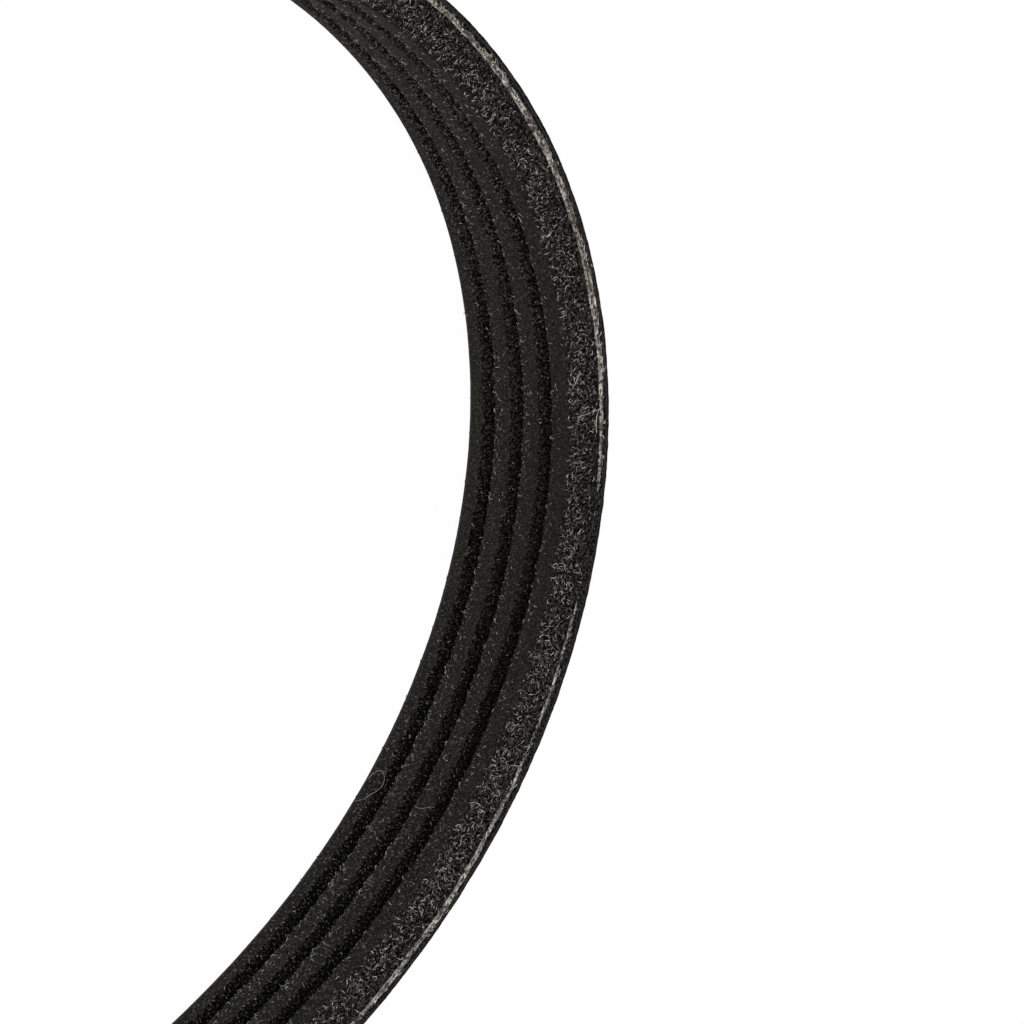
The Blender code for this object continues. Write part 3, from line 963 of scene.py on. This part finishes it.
def loose_fibre(name, dark, pale, rarity):
    """Loose polyester and cotton fibre: matt, and anything from clean to blackened by rubber dust.

    A rarity above 1 makes the clean fibres rarer, and one below 1 makes them commoner.
    """
    stain_size = 0.6 * MM
    made, tree = new_material(name)
    shade = add(tree, "ShaderNodeAttribute", attribute_name="shade").outputs["Fac"]
    place = add(tree, "ShaderNodeTexCoord").outputs["Object"]
    blot = add(tree, "ShaderNodeTexNoise", {"Vector": place, "Scale": 1 / stain_size})
    soiled = add(tree, "ShaderNodeMapRange",
                 {"Value": blot, "From Min": 0.25, "From Max": 0.6, "To Min": 0.35})
    washed = add(tree, "ShaderNodeMath", {0: shade, 1: rarity}, operation="POWER")
    clean = add(tree, "ShaderNodeMath", {0: washed, 1: soiled}, operation="MULTIPLY")
    skin = add(tree, "ShaderNodeMix", {0: clean, 6: tuple(dark), 7: tuple(pale)}, data_type="RGBA")
    surface = add(tree, "ShaderNodeBsdfPrincipled",
                  {"Base Color": skin, "Roughness": 0.7, "Specular IOR Level": 0.2})
    add(tree, "ShaderNodeOutputMaterial", {"Surface": surface})
    return made


def material(name, maker, *values):
    """A material by name, made the first time that it is asked for."""
    return bpy.data.materials.get(name) or maker(*values)


def flock_material():
    """The flock's material, in which clean fibres are the rarer ones."""
    name = "flock_fibre"
    paint = colours()
    return material(name, loose_fibre, name, paint.flock_dark, paint.flock, 1.4)


def filament_material():
    """The bare cord filaments' material, in which clean ones are the commoner ones."""
    name = "polyester_filament"
    paint = colours()
    return material(name, loose_fibre, name, paint.cord_dirt, paint.cord, 0.8)


# Distance from the middle of the +X nose, then the inner and outer offset of the bare cord, all in
# millimetres. Where the two offsets meet, no cord shows.
BARE_CORD = (
    (-64.0, -0.28, 0.44),
    (-58.5, -0.15, 0.55),
    (-56.0, -0.25, 0.42),
    (-53.5, -0.28, 0.62),
    (-50.0, -0.10, 0.72),
    (-46.0, -0.28, 0.58),
    (-43.0, -0.24, 0.36),
    (-41.0, -0.30, 0.44),
    (-37.0, -0.32, 0.32),
    (-33.5, -0.44, 0.12),
    (-28.5, -0.28, 0.30),
    (-26.0, -0.34, 0.00),
    (-21.0, -0.36, 0.12),
    (-19.0, -0.12, -0.12),
    (-9.8, 0.20, 0.20),
    (-8.5, 0.02, 0.42),
    (-4.0, -0.10, 0.42),
    (-1.0, -0.10, 0.48),
    (2.0, -0.04, 0.70),
    (6.5, -0.23, 0.64),
    (11.5, -0.20, 0.80),
    (15.0, -0.18, 0.58),
    (24.0, -0.20, 0.74),
    (30.0, -0.24, 0.52),
    (36.0, -0.20, 0.56),
    (44.0, -0.06, 0.60),
)


def bare_cord_limits(marks):
    """Inner and outer offset of the cord that the cut laid bare, at distances round the loop.

    The nose in the camera's view has its limits set at a few places, as the photograph shows them. The
    rest of the way swells and fades in slow waves.
    """
    handover = 20 * MM
    here, inner, outer = np.array(BARE_CORD).T * MM
    signed = from_nose(marks)
    turns = 2 * math.pi * signed / sizes().loop_length
    swell = 0.5 + 0.3 * np.sin(5 * turns + 1.0) + 0.2 * np.sin(13 * turns + 0.4)
    away = np.clip(np.maximum(here[0] - signed, signed - here[-1]) / handover, 0, 1)
    wave_inner = 0.25 * MM - 0.60 * MM * swell
    wave_outer = 0.35 * MM + 0.38 * MM * swell
    near_inner = np.interp(signed, here, inner)
    near_outer = np.interp(signed, here, outer)
    return near_inner * (1 - away) + wave_inner * away, near_outer * (1 - away) + wave_outer * away


def smooth_noise(random, marks, grain):
    """Random swings from -1 to 1 along a closed way, each about one grain long."""
    loop_length = sizes().loop_length
    knots = max(4, round(loop_length / grain))
    values = random.uniform(-1, 1, knots)
    values = np.append(values, values[0])
    return np.interp(np.mod(marks, loop_length), np.linspace(0, loop_length, knots + 1), values)


def ring_band(name, marks, bands, clean):
    """Closed bands round the loop, each from rings of offset and height, clockwise from the inner edge.

    The charts run along the loop and round each band, each band's chart apart from the others', and
    clean says how clean each band's rings are.
    """
    ring_spacing = 0.11 * MM
    loop = Loop(sizes())
    points, outward = loop.place(marks)
    here = np.arange(len(marks))
    after = (here + 1) % len(marks)
    spacing = loop.length / len(marks)
    along = np.stack([marks, marks, marks + spacing, marks + spacing], axis=1)
    space = []
    faces = []
    charts = []
    first = 0
    for rings in bands:
        count = len(rings)
        columns = []
        for offset, height in rings:
            columns.append(np.column_stack([points + outward * offset[:, None], height]))
        space.append(np.stack(columns, axis=1).reshape(-1, 3))
        row = here * count
        next_row = after * count
        for k in range(count):
            on = (k + 1) % count
            faces.append(first + np.stack([row + k, row + on, next_row + on, next_row + k], axis=1))
            round_it = np.array([k, k + 1, k + 1, k]) * ring_spacing + first
            charts.append(np.stack([along, np.broadcast_to(round_it, along.shape)], axis=2))
        first += count * len(marks)
    piece = mesh_object(name, np.concatenate(space), (), np.concatenate(faces).tolist())
    chart = piece.data.uv_layers.new(name="UVMap")
    chart.data.foreach_set("uv", np.concatenate(charts).astype(np.float32).ravel())
    repeats = [len(rings) for rings in bands]
    runs = [np.repeat(way_on(outward), count, axis=0) for count in repeats]
    linty = [np.repeat(linty_stretch(marks), count) for count in repeats]
    shares = [np.tile(np.broadcast_to(share, count), len(marks)) for share, count in zip(clean, repeats)]
    write_attribute(piece, "run", "FLOAT_VECTOR", np.concatenate(runs))
    write_attribute(piece, "linty", "FLOAT", np.concatenate(linty))
    write_attribute(piece, "clean", "FLOAT", np.concatenate(shares))
    piece.data.shade_smooth()
    return piece


def cut_edge_heights(rise, upper):
    """Heights of a band that stands so far out of the upper or the lower cut edge.

    The belt stands on its lower edge, so nothing there comes out of it.
    """
    clearance = 0.004 * MM
    if upper:
        return UPPER_CUT + rise
    return np.maximum(LOWER_CUT - rise, LOWER_CUT + clearance)


def ragged_limits(marks, upper, random, spacing):
    """The bare cord's limits with torn edges, and how far it shows at all."""
    full_width = 0.22 * MM
    way = marks if upper else sizes().loop_length / 2 - marks
    inner, outer = bare_cord_limits(way)
    inner = inner + 0.06 * MM * smooth_noise(random, marks, 1.1 * MM)
    inner = inner + 0.03 * MM * smooth_noise(random, marks, spacing)
    outer = outer + 0.12 * MM * smooth_noise(random, marks, 0.9 * MM)
    outer = outer + 0.05 * MM * smooth_noise(random, marks, spacing)
    return inner, outer, np.clip((outer - inner) / full_width, 0, 1)


def cord_bed(name, upper, spacing):
    """The sliced cord in a cut edge: a low ragged ridge, stained by the rubber that holds it."""
    rows = 6
    crown = 0.075 * MM
    furrow = 0.025 * MM
    furrow_length = 2.4 * MM
    sunk = 0.09 * MM
    foot = 0.14 * MM
    least_width = 0.02 * MM
    marks = even_marks(Loop(sizes()), spacing)
    random = np.random.default_rng(fibres().seed + (11 if upper else 12))
    inner, outer, present = ragged_limits(marks, upper, random, spacing)
    rings = []
    for row in range(rows):
        share = row / (rows - 1)
        dome = math.sin(math.pi * share) ** 0.5
        furrowed = furrow * smooth_noise(random, marks, furrow_length) * dome
        rise = (crown * dome + furrowed) * present - sunk
        offset = inner + np.maximum(outer - inner, least_width) * share
        rings.append((offset, cut_edge_heights(rise, upper)))
    for offset in (rings[-1][0], rings[0][0]):
        rings.append((offset, cut_edge_heights(np.full(len(marks), -foot), upper)))
    washed = np.array([0.80, 1.0, 0.52, 0.45, 0.62, 0.60, 0.0, 0.0])
    bare = np.array([1.0] * rows + [0.0, 0.0])
    if not upper:
        rings = rings[::-1]
        washed = washed[::-1]
        bare = bare[::-1]
    bed = ring_band(name, marks, [rings], [washed])
    write_attribute(bed, "bare", "FLOAT", np.outer(present, bare).ravel())
    bed.data.materials.append(material("twisted_polyester_cord", twisted_polyester))
    return bed


def cord_strands(name, upper, spacing):
    """Loosened plies of the cord that wander over its bed and sink where the cut misses it."""
    plies = 4
    sides = 5
    cleanness = 0.6
    full_width = 0.25 * MM
    lowest_home, home_range = 0.04, 0.56
    least_share, most_share = 0.06, 0.70
    thinnest = 0.020 * MM
    thickening = 0.050 * MM
    flatness = 0.8
    wave = 0.075 * MM
    sunk = 0.030 * MM
    buried = 0.13 * MM
    marks = even_marks(Loop(sizes()), spacing)
    random = np.random.default_rng(fibres().seed + (13 if upper else 14))
    inner, outer = bare_cord_limits(marks if upper else sizes().loop_length / 2 - marks)
    width = outer - inner
    present = np.clip(width / full_width, 0, 1)
    bands = []
    for ply in range(plies):
        home = lowest_home + home_range * (ply + 0.5) / plies
        slow = smooth_noise(random, marks, 4.5 * MM)
        quick = smooth_noise(random, marks, 1.7 * MM)
        share = np.clip(home + (0.12 * slow + 0.05 * quick), least_share, most_share)
        centre = inner + width * share
        swell = 0.5 + 0.5 * smooth_noise(random, marks, 3.0 * MM)
        radius = thinnest + thickening * swell
        rise = wave * smooth_noise(random, marks, 1.5 * MM) - sunk - buried * (1 - present)
        rings = []
        for side in range(sides):
            angle = -2 * math.pi * side / sides
            offset = centre + radius * math.cos(angle)
            height = cut_edge_heights(rise + radius * flatness * math.sin(angle), upper)
            rings.append((offset, height))
        bands.append(rings if upper else rings[::-1])
    plied = ring_band(name, marks, bands, [cleanness] * plies)
    plied.data.materials.append(material("twisted_polyester_cord", twisted_polyester))
    return plied


def knife_burr(name, spacing):
    """The torn lip of rubber that the knife left along the outer corner of the upper cut edge."""
    marks = even_marks(Loop(sizes()), spacing)
    random = np.random.default_rng(fibres().seed + 15)
    corner = belt_offsets()["cover_outer"]
    slow = smooth_noise(random, marks, 0.9 * MM)
    quick = smooth_noise(random, marks, spacing)
    tear = 0.5 + 0.3 * slow + 0.2 * quick
    even = np.zeros(len(marks))
    rings = [
        (corner - 0.34 * MM + even, UPPER_CUT - 0.05 * MM + even),
        (corner - 0.22 * MM + even, UPPER_CUT + 0.05 * MM * tear),
        (corner - 0.09 * MM + 0.08 * MM * tear, UPPER_CUT + 0.03 * MM * tear),
        (corner - 0.09 * MM + 0.10 * MM * tear, UPPER_CUT - 0.20 * MM + even),
    ]
    burr = ring_band(name, marks, [rings], [0.0])
    # Painted shade: the burr faces up into the light, and this end mark gives it most of the near-black
    # groove colour
    write_attribute(burr, "end", "FLOAT", np.full(len(burr.data.vertices), 0.8))
    burr.data.materials.append(material("ground_epdm_rubber", ground_rubber))
    return burr


# Each hair's thickness in millimetres, its shade from 0, dark, to 1, clean, and the spots that it passes:
# distance from the middle of the +X nose, offset and height, all in millimetres
HAIRS = {
    "curled_hair": (0.050, 0.62, (
        (-42.6, -3.26, 1.2), (-41.9, -3.34, 1.5), (-41.4, -3.36, 2.1), (-41.7, -3.36, 2.8),
        (-42.5, -3.36, 3.2), (-43.1, -3.33, 3.1), (-43.9, -3.32, 2.5), (-44.7, -3.32, 1.9),
        (-45.1, -3.26, 1.2),
    )),
    "short_hair": (0.050, 0.55, (
        (-43.5, -3.28, 7.9), (-43.4, -3.38, 8.8), (-42.9, -3.28, 9.6),
    )),
    "crossing_hair": (0.060, 0.80, (
        (-1.75, -0.10, 14.32), (-1.80, -0.80, 14.36), (-2.00, -1.25, 14.02), (-2.10, -1.80, 13.82),
        (-2.20, -2.35, 13.58),
    )),
    "edge_hair": (0.070, 0.90, (
        (-1.70, -0.10, 14.32), (-2.05, -0.45, 14.34), (-2.60, -0.62, 14.34), (-3.30, -0.66, 14.34),
        (-3.95, -0.52, 14.28),
    )),
    "arched_hair": (0.060, 0.90, (
        (-1.25, -1.90, 13.77), (-1.42, -1.60, 13.92), (-1.30, -1.25, 14.00),
    )),
    "flank_hair": (0.065, 0.85, (
        (1.7, -3.10, 13.32), (1.3, -2.90, 13.43), (1.05, -2.62, 13.52), (1.35, -2.37, 13.60),
        (2.0, -2.07, 13.71), (2.3, -1.92, 13.76),
    )),
    "cordside_hair": (0.055, 0.85, (
        (-36.2, -1.20, 14.10), (-36.0, -1.05, 14.33), (-35.9, -0.50, 14.33),
    )),
}


def hair_object(name, thickness, shade, spots):
    """A long loose hair along its spots."""
    loop = Loop(sizes())
    spots = np.array(spots) * MM
    points, outward = loop.place(spots[:, 0])
    space = np.column_stack([points + outward * spots[:, 1:2], spots[:, 2]])
    line = bpy.data.curves.new(name, "CURVE")
    line.dimensions = "3D"
    line.bevel_depth = thickness * MM / 2
    line.bevel_resolution = 1
    line.resolution_u = 6
    line.use_fill_caps = True
    spline = line.splines.new("BEZIER")
    spline.bezier_points.add(len(space) - 1)
    for knot, place in zip(spline.bezier_points, space):
        knot.co = place
        knot.handle_left_type = "AUTO"
        knot.handle_right_type = "AUTO"
    drawn = link(bpy.data.objects.new(name, line))
    graph = bpy.context.evaluated_depsgraph_get()
    data = bpy.data.meshes.new_from_object(drawn.evaluated_get(graph))
    bpy.data.objects.remove(drawn, do_unlink=True)
    bpy.data.curves.remove(line)
    made = link(bpy.data.objects.new(name, data))
    data.name = name
    write_attribute(made, "shade", "FLOAT", np.full(len(data.vertices), shade))
    data.shade_smooth()
    data.materials.clear()
    data.materials.append(flock_material())
    return made


def need(name):
    """A piece that another operator has made already."""
    piece = bpy.data.objects.get(name)
    if piece is None:
        raise RuntimeError(f"{name} has to be made first")
    return piece


class BELT_OT_ribbed_body(Operator):
    """Sweep the ribbed section round the loop"""
    bl_idname = "belt.ribbed_body"
    bl_label = "Ribbed Body"

    def execute(self, context):
        """Make the rubber with its ribs."""
        longest_side = 0.80 * MM
        skin_depth, skin_grain = 0.07 * MM, 2.5 * MM
        size = sizes()
        outline = rounded(ribbed_corners(), longest_side)
        marks = even_marks(Loop(size), size.station_run)
        path = path_object("ribbed_rubber", marks, 0.0, True)
        section = section_object("ribbed section", outline, body_zones(outline))
        body = sweep("ribbed_rubber", path, section, material("ground_epdm_rubber", ground_rubber),
                     skin_depth, skin_grain)
        finish_piece(body, "ribbed_rubber", "ribbed_body")
        return {"FINISHED"}


class BELT_OT_back_cover(Operator):
    """Sweep the thin cover round the back"""
    bl_idname = "belt.back_cover"
    bl_label = "Back Cover"

    def execute(self, context):
        """Make the cover."""
        size = sizes()
        at = belt_offsets()
        middle = (LOWER_CUT + UPPER_CUT) / 2
        edge_round = 0.12 * MM
        longest_side = 0.70 * MM
        skin_depth, skin_grain = 0.06 * MM, 1.6 * MM
        burr_spacing = 0.36 * MM
        corners = [
            (at["cover_inner"], middle, 0, 0),
            (at["cover_inner"], LOWER_CUT, 0, 0),
            (at["cover_outer"], LOWER_CUT, edge_round, 3),
            (at["cover_outer"], UPPER_CUT, edge_round, 3),
            (at["cover_inner"], UPPER_CUT, 0, 0),
        ]
        outline = rounded(corners, longest_side)
        back = (outline[:, 0] > at["cover_outer"] - 0.01 * MM).astype(float)
        marks = even_marks(Loop(size), size.station_run)
        path = path_object("back_rubber", marks, 0.0, True)
        section = section_object("cover section", outline, {"back": back})
        cover = sweep("back_rubber", path, section, material("moulded_back_rubber", moulded_rubber),
                      skin_depth, skin_grain)
        finish_piece(cover, "back_rubber", "back_cover")
        finish_piece(knife_burr("knife_burr", burr_spacing), "back_rubber")
        return {"FINISHED"}


class BELT_OT_wound_cord(Operator):
    """Wind the cord round the loop inside the rubber"""
    bl_idname = "belt.wound_cord"
    bl_label = "Wound Cord"

    def execute(self, context):
        """Make the one long cord, cut where the belt's edges cut it."""
        size = sizes()
        radius = size.cord_diameter / 2
        sides = 9
        facet_length = 6 * MM
        end_inset = 0.23 * MM
        inside = 0.10 * MM
        first = LOWER_CUT + end_inset
        last = UPPER_CUT - end_inset
        turns = (last - first) / size.cord_pitch
        count = round(turns * size.loop_length / facet_length)
        share = np.linspace(0, 1, count)
        heights = first + share * (last - first)
        path = path_object("wound_cord", share * turns * size.loop_length, heights, False)
        angles = 2 * math.pi * np.arange(sides) / sides
        outline = np.stack([radius * np.cos(angles), -radius * np.sin(angles)], axis=1)
        section = section_object("cord section", outline, {"clean": np.full(len(outline), 0.8)})
        cord = sweep("wound_cord", path, section, material("twisted_polyester_cord", twisted_polyester),
                     0.0, 1 * MM)
        clamp_heights(cord, LOWER_CUT + inside, UPPER_CUT - inside)
        finish_piece(cord, "tension_cord", "tension_cord")
        return {"FINISHED"}


class BELT_OT_bare_cord(Operator):
    """Lay the cord that the cut laid bare into both cut edges"""
    bl_idname = "belt.bare_cord"
    bl_label = "Bare Cord"

    def execute(self, context):
        """Make the frayed cord in each cut edge, and its loose filaments."""
        # The belt stands on its lower edge, so what lies in that one is made coarser
        bed_spacing = 0.36 * MM
        ply_spacing = 0.70 * MM
        loose = fibres()
        usual = loose.strand_length
        for side, upper, coarse in (("upper", True, 1.0), ("lower", False, 2.5)):
            bed = cord_bed(f"bare_cord_{side}", upper, bed_spacing * coarse)
            finish_piece(bed, "tension_cord")
            plied = cord_strands(f"loosened_plies_{side}", upper, ply_spacing * coarse)
            finish_piece(plied, "tension_cord")
        frayed = scatter("frayed_filaments", need("bare_cord_upper"), "bare", filament_material(), 21,
                         loose.strand_density * 1.5, (usual * 0.10, usual * 0.30), (-0.04, 0.10), 0.8,
                         (1.5 * MM, 0.6), loose.strand_thickness * 0.9, short=True)
        finish_piece(frayed, "tension_cord")
        stray = scatter("stray_filaments", need("bare_cord_upper"), "bare", filament_material(), 22,
                        loose.strand_density * 0.5, (usual * 0.08, usual * 0.20), (0.0, 0.15), 1.2,
                        (3 * MM, 0.6), loose.strand_thickness)
        finish_piece(stray, "tension_cord")
        return {"FINISHED"}


class BELT_OT_flank_fibres(Operator):
    """Plant the flock that stands out of the two end flanks and cut edges"""
    bl_idname = "belt.flank_fibres"
    bl_label = "Flank Fibres"

    def execute(self, context):
        """Make the flock of the near and the far side."""
        loose = fibres()
        body = need("ribbed_rubber")
        usual = loose.flock_length
        near = scatter("near_flank_flock", body, "near_flank", flock_material(), 1,
                       loose.flank_density * 1.2, (usual * 0.6, usual * 1.4), (-0.15, 0.4), 1.5,
                       (1.6 * MM, 0.7), loose.flock_thickness)
        finish_piece(near, "ribbed_rubber")
        short = scatter("near_flank_fuzz", body, "near_flank", flock_material(), 7,
                        loose.flank_density * 1.7, (usual * 0.35, usual * 0.9), (-0.1, 0.5), 1.5,
                        (1.1 * MM, 0.85), loose.flock_thickness, short=True)
        finish_piece(short, "ribbed_rubber")
        far = scatter("far_flank_flock", body, "far_flank", flock_material(), 2,
                      loose.flank_density * 0.3, (usual * 0.4, usual * 1.0), (-0.2, 0.1), 1.5,
                      (1.6 * MM, 0.75), loose.flock_thickness)
        finish_piece(far, "ribbed_rubber")
        return {"FINISHED"}


class BELT_OT_groove_fibres(Operator):
    """Plant the flock on the flanks inside the grooves"""
    bl_idname = "belt.groove_fibres"
    bl_label = "Groove Fibres"

    def execute(self, context):
        """Make the flock in the grooves and the fringes at the crests' lower edges."""
        loose = fibres()
        body = need("ribbed_rubber")
        usual = loose.flock_length
        inside = scatter("groove_flock", body, "groove", flock_material(), 3, loose.groove_density,
                         (usual * 0.3, usual * 0.8), (-0.1, 0.7), 1.57, (1.4 * MM, 0.6),
                         loose.flock_thickness * 0.8, "dusty", True)
        finish_piece(inside, "ribbed_rubber")
        fringe = scatter("crest_edge_flock", body, "fringe", flock_material(), 4,
                         loose.flank_density * 2.0, (usual * 0.4, usual * 1.1), (-0.15, 0.30), 1.57,
                         (1.2 * MM, 0.85), loose.flock_thickness * 0.68)
        finish_piece(fringe, "ribbed_rubber")
        return {"FINISHED"}


class BELT_OT_surface_lint(Operator):
    """Scatter short lint over the crests and the back"""
    bl_idname = "belt.surface_lint"
    bl_label = "Surface Lint"

    def execute(self, context):
        """Make the lint that lies flat on the crests and the cover."""
        loose = fibres()
        usual = loose.flock_length
        crest = scatter("crest_lint", need("ribbed_rubber"), "tread", flock_material(), 5,
                        loose.crest_density, (usual * 0.3, usual * 0.8), (-0.2, 0.15), 1.57,
                        (2.5 * MM, 0.8), loose.flock_thickness * 0.60, "littered", True)
        finish_piece(crest, "ribbed_rubber")
        back = scatter("back_lint", need("back_rubber"), "back", flock_material(), 6,
                       loose.crest_density * 0.1, (usual * 0.3, usual * 0.9), (-0.25, 0.2), 1.57,
                       (4 * MM, 0.9), loose.flock_thickness * 0.9)
        finish_piece(back, "back_rubber")
        return {"FINISHED"}


class BELT_OT_loose_hairs(Operator):
    """Lay the few long hairs that cling to the belt"""
    bl_idname = "belt.loose_hairs"
    bl_label = "Loose Hairs"

    def execute(self, context):
        """Make each hair from its own spots."""
        for name, (thickness, shade, spots) in HAIRS.items():
            finish_piece(hair_object(name, thickness, shade, spots), "ribbed_rubber")
        return {"FINISHED"}


class BELT_OT_stage(Operator):
    """Set up the floor, the light and the camera"""
    bl_idname = "belt.stage"
    bl_label = "Stage"

    def execute(self, context):
        """Make the plain studio."""
        fill_share = 0.35
        stage = context.scene.belt_stage
        half = stage.floor_size / 2
        corners = [(-half, -half, 0), (half, -half, 0), (half, half, 0), (-half, half, 0)]
        floor = mesh_object("studio_floor", corners, (), [(0, 1, 2, 3)])
        floor.data.materials.append(material("matt_studio_floor", studio_floor))
        light_world(context.scene, stage.sky)
        soft_lamp("key_lamp", stage.lamp, (-1.05, 0.60, 1.15), 1.1)
        soft_lamp("fill_lamp", stage.lamp * fill_share, (0.9, -1.1, 1.2), 1.4)
        aim_camera(context.scene, stage)
        context.scene.view_settings.view_transform = "Standard"
        return {"FINISHED"}


def seen_white(tree):
    """1 for the rays that should meet a white studio: the camera's, and those of gloss and glass."""
    path = add(tree, "ShaderNodeLightPath").outputs
    shiny = add(tree, "ShaderNodeMath", {0: path["Is Glossy Ray"], 1: path["Is Transmission Ray"]},
                operation="MAXIMUM")
    return add(tree, "ShaderNodeMath", {0: path["Is Camera Ray"], 1: shiny}, operation="MAXIMUM")


def studio_floor():
    """Matt white painted board, lit up for the camera so that only a soft shadow shows."""
    lit_share = 0.97
    made, tree = new_material("matt_studio_floor")
    board = add(tree, "ShaderNodeBsdfDiffuse", {"Color": tuple(colours().floor)})
    glow = add(tree, "ShaderNodeEmission", {"Color": linear("FFFFFF"), "Strength": 1.0})
    share = add(tree, "ShaderNodeMath", {0: seen_white(tree), 1: lit_share}, operation="MULTIPLY")
    both = add(tree, "ShaderNodeMixShader", {0: share, 1: board, 2: glow})
    add(tree, "ShaderNodeOutputMaterial", {"Surface": both})
    return made


def light_world(scene, strength):
    """Even light from all round, seen as plain white."""
    world = bpy.data.worlds.new("studio_world")
    world.use_nodes = True
    tree = world.node_tree
    tree.nodes.clear()
    level = add(tree, "ShaderNodeMapRange", {"Value": seen_white(tree), "To Min": strength, "To Max": 1.0})
    sky = add(tree, "ShaderNodeBackground", {"Color": linear("FFFFFF"), "Strength": level})
    add(tree, "ShaderNodeOutputWorld", {"Surface": sky})
    scene.world = world


def soft_lamp(name, power, place, across):
    """A large square lamp that faces the belt."""
    lamp = bpy.data.lights.new(name, "AREA")
    lamp.shape = "SQUARE"
    lamp.size = across
    lamp.energy = power
    stand = link(bpy.data.objects.new(name, lamp))
    stand.location = place
    stand.rotation_euler = (-Vector(place)).to_track_quat("-Z", "Y").to_euler()


def aim_camera(scene, stage):
    """The camera of the photograph."""
    lens = bpy.data.cameras.new("studio_camera")
    lens.sensor_width = 36.0
    lens.lens = stage.lens
    lens.clip_start = 0.01
    lens.clip_end = 50.0
    camera = link(bpy.data.objects.new("studio_camera", lens))
    place = Vector(stage.camera_place)
    view = (Vector(stage.camera_aim) - place).to_track_quat("-Z", "Y")
    camera.location = place
    camera.rotation_mode = "QUATERNION"
    camera.rotation_quaternion = view @ Quaternion((0, 0, 1), stage.camera_roll)
    scene.camera = camera


class BELT_PT_build(Panel):
    """Steps that make the belt"""
    bl_idname = "BELT_PT_build"
    bl_label = "Ribbed Belt"
    bl_space_type = "VIEW_3D"
    bl_region_type = "UI"
    bl_category = "Belt"

    def draw(self, context):
        """List the sizes, the colours and the operators."""
        layout = self.layout
        for group in (context.scene.belt_sizes, context.scene.belt_fibres, context.scene.belt_colours,
                      context.scene.belt_stage):
            box = layout.box()
            for field in group.bl_rna.properties:
                if field.identifier not in {"rna_type", "name"}:
                    box.prop(group, field.identifier)
        for step in STEPS:
            layout.operator(step.bl_idname)


GROUPS = {
    "belt_sizes": BeltSizes,
    "belt_fibres": BeltFibres,
    "belt_colours": BeltColours,
    "belt_stage": BeltStage,
}
STEPS = (
    BELT_OT_ribbed_body,
    BELT_OT_back_cover,
    BELT_OT_wound_cord,
    BELT_OT_bare_cord,
    BELT_OT_flank_fibres,
    BELT_OT_groove_fibres,
    BELT_OT_surface_lint,
    BELT_OT_loose_hairs,
    BELT_OT_stage,
)


def register():
    """Register the properties, the operators and the panel."""
    for name, group in GROUPS.items():
        bpy.utils.register_class(group)
        setattr(bpy.types.Scene, name, PointerProperty(type=group))
    for step in STEPS:
        bpy.utils.register_class(step)
    bpy.utils.register_class(BELT_PT_build)


def unregister():
    """Undo register."""
    bpy.utils.unregister_class(BELT_PT_build)
    for step in reversed(STEPS):
        bpy.utils.unregister_class(step)
    for name, group in GROUPS.items():
        delattr(bpy.types.Scene, name)
        bpy.utils.unregister_class(group)


def main():
    """Make the whole belt and its stage."""
    register()
    for step in STEPS:
        family, name = step.bl_idname.split(".")
        getattr(getattr(bpy.ops, family), name)()


if __name__ == "__main__":
    main()
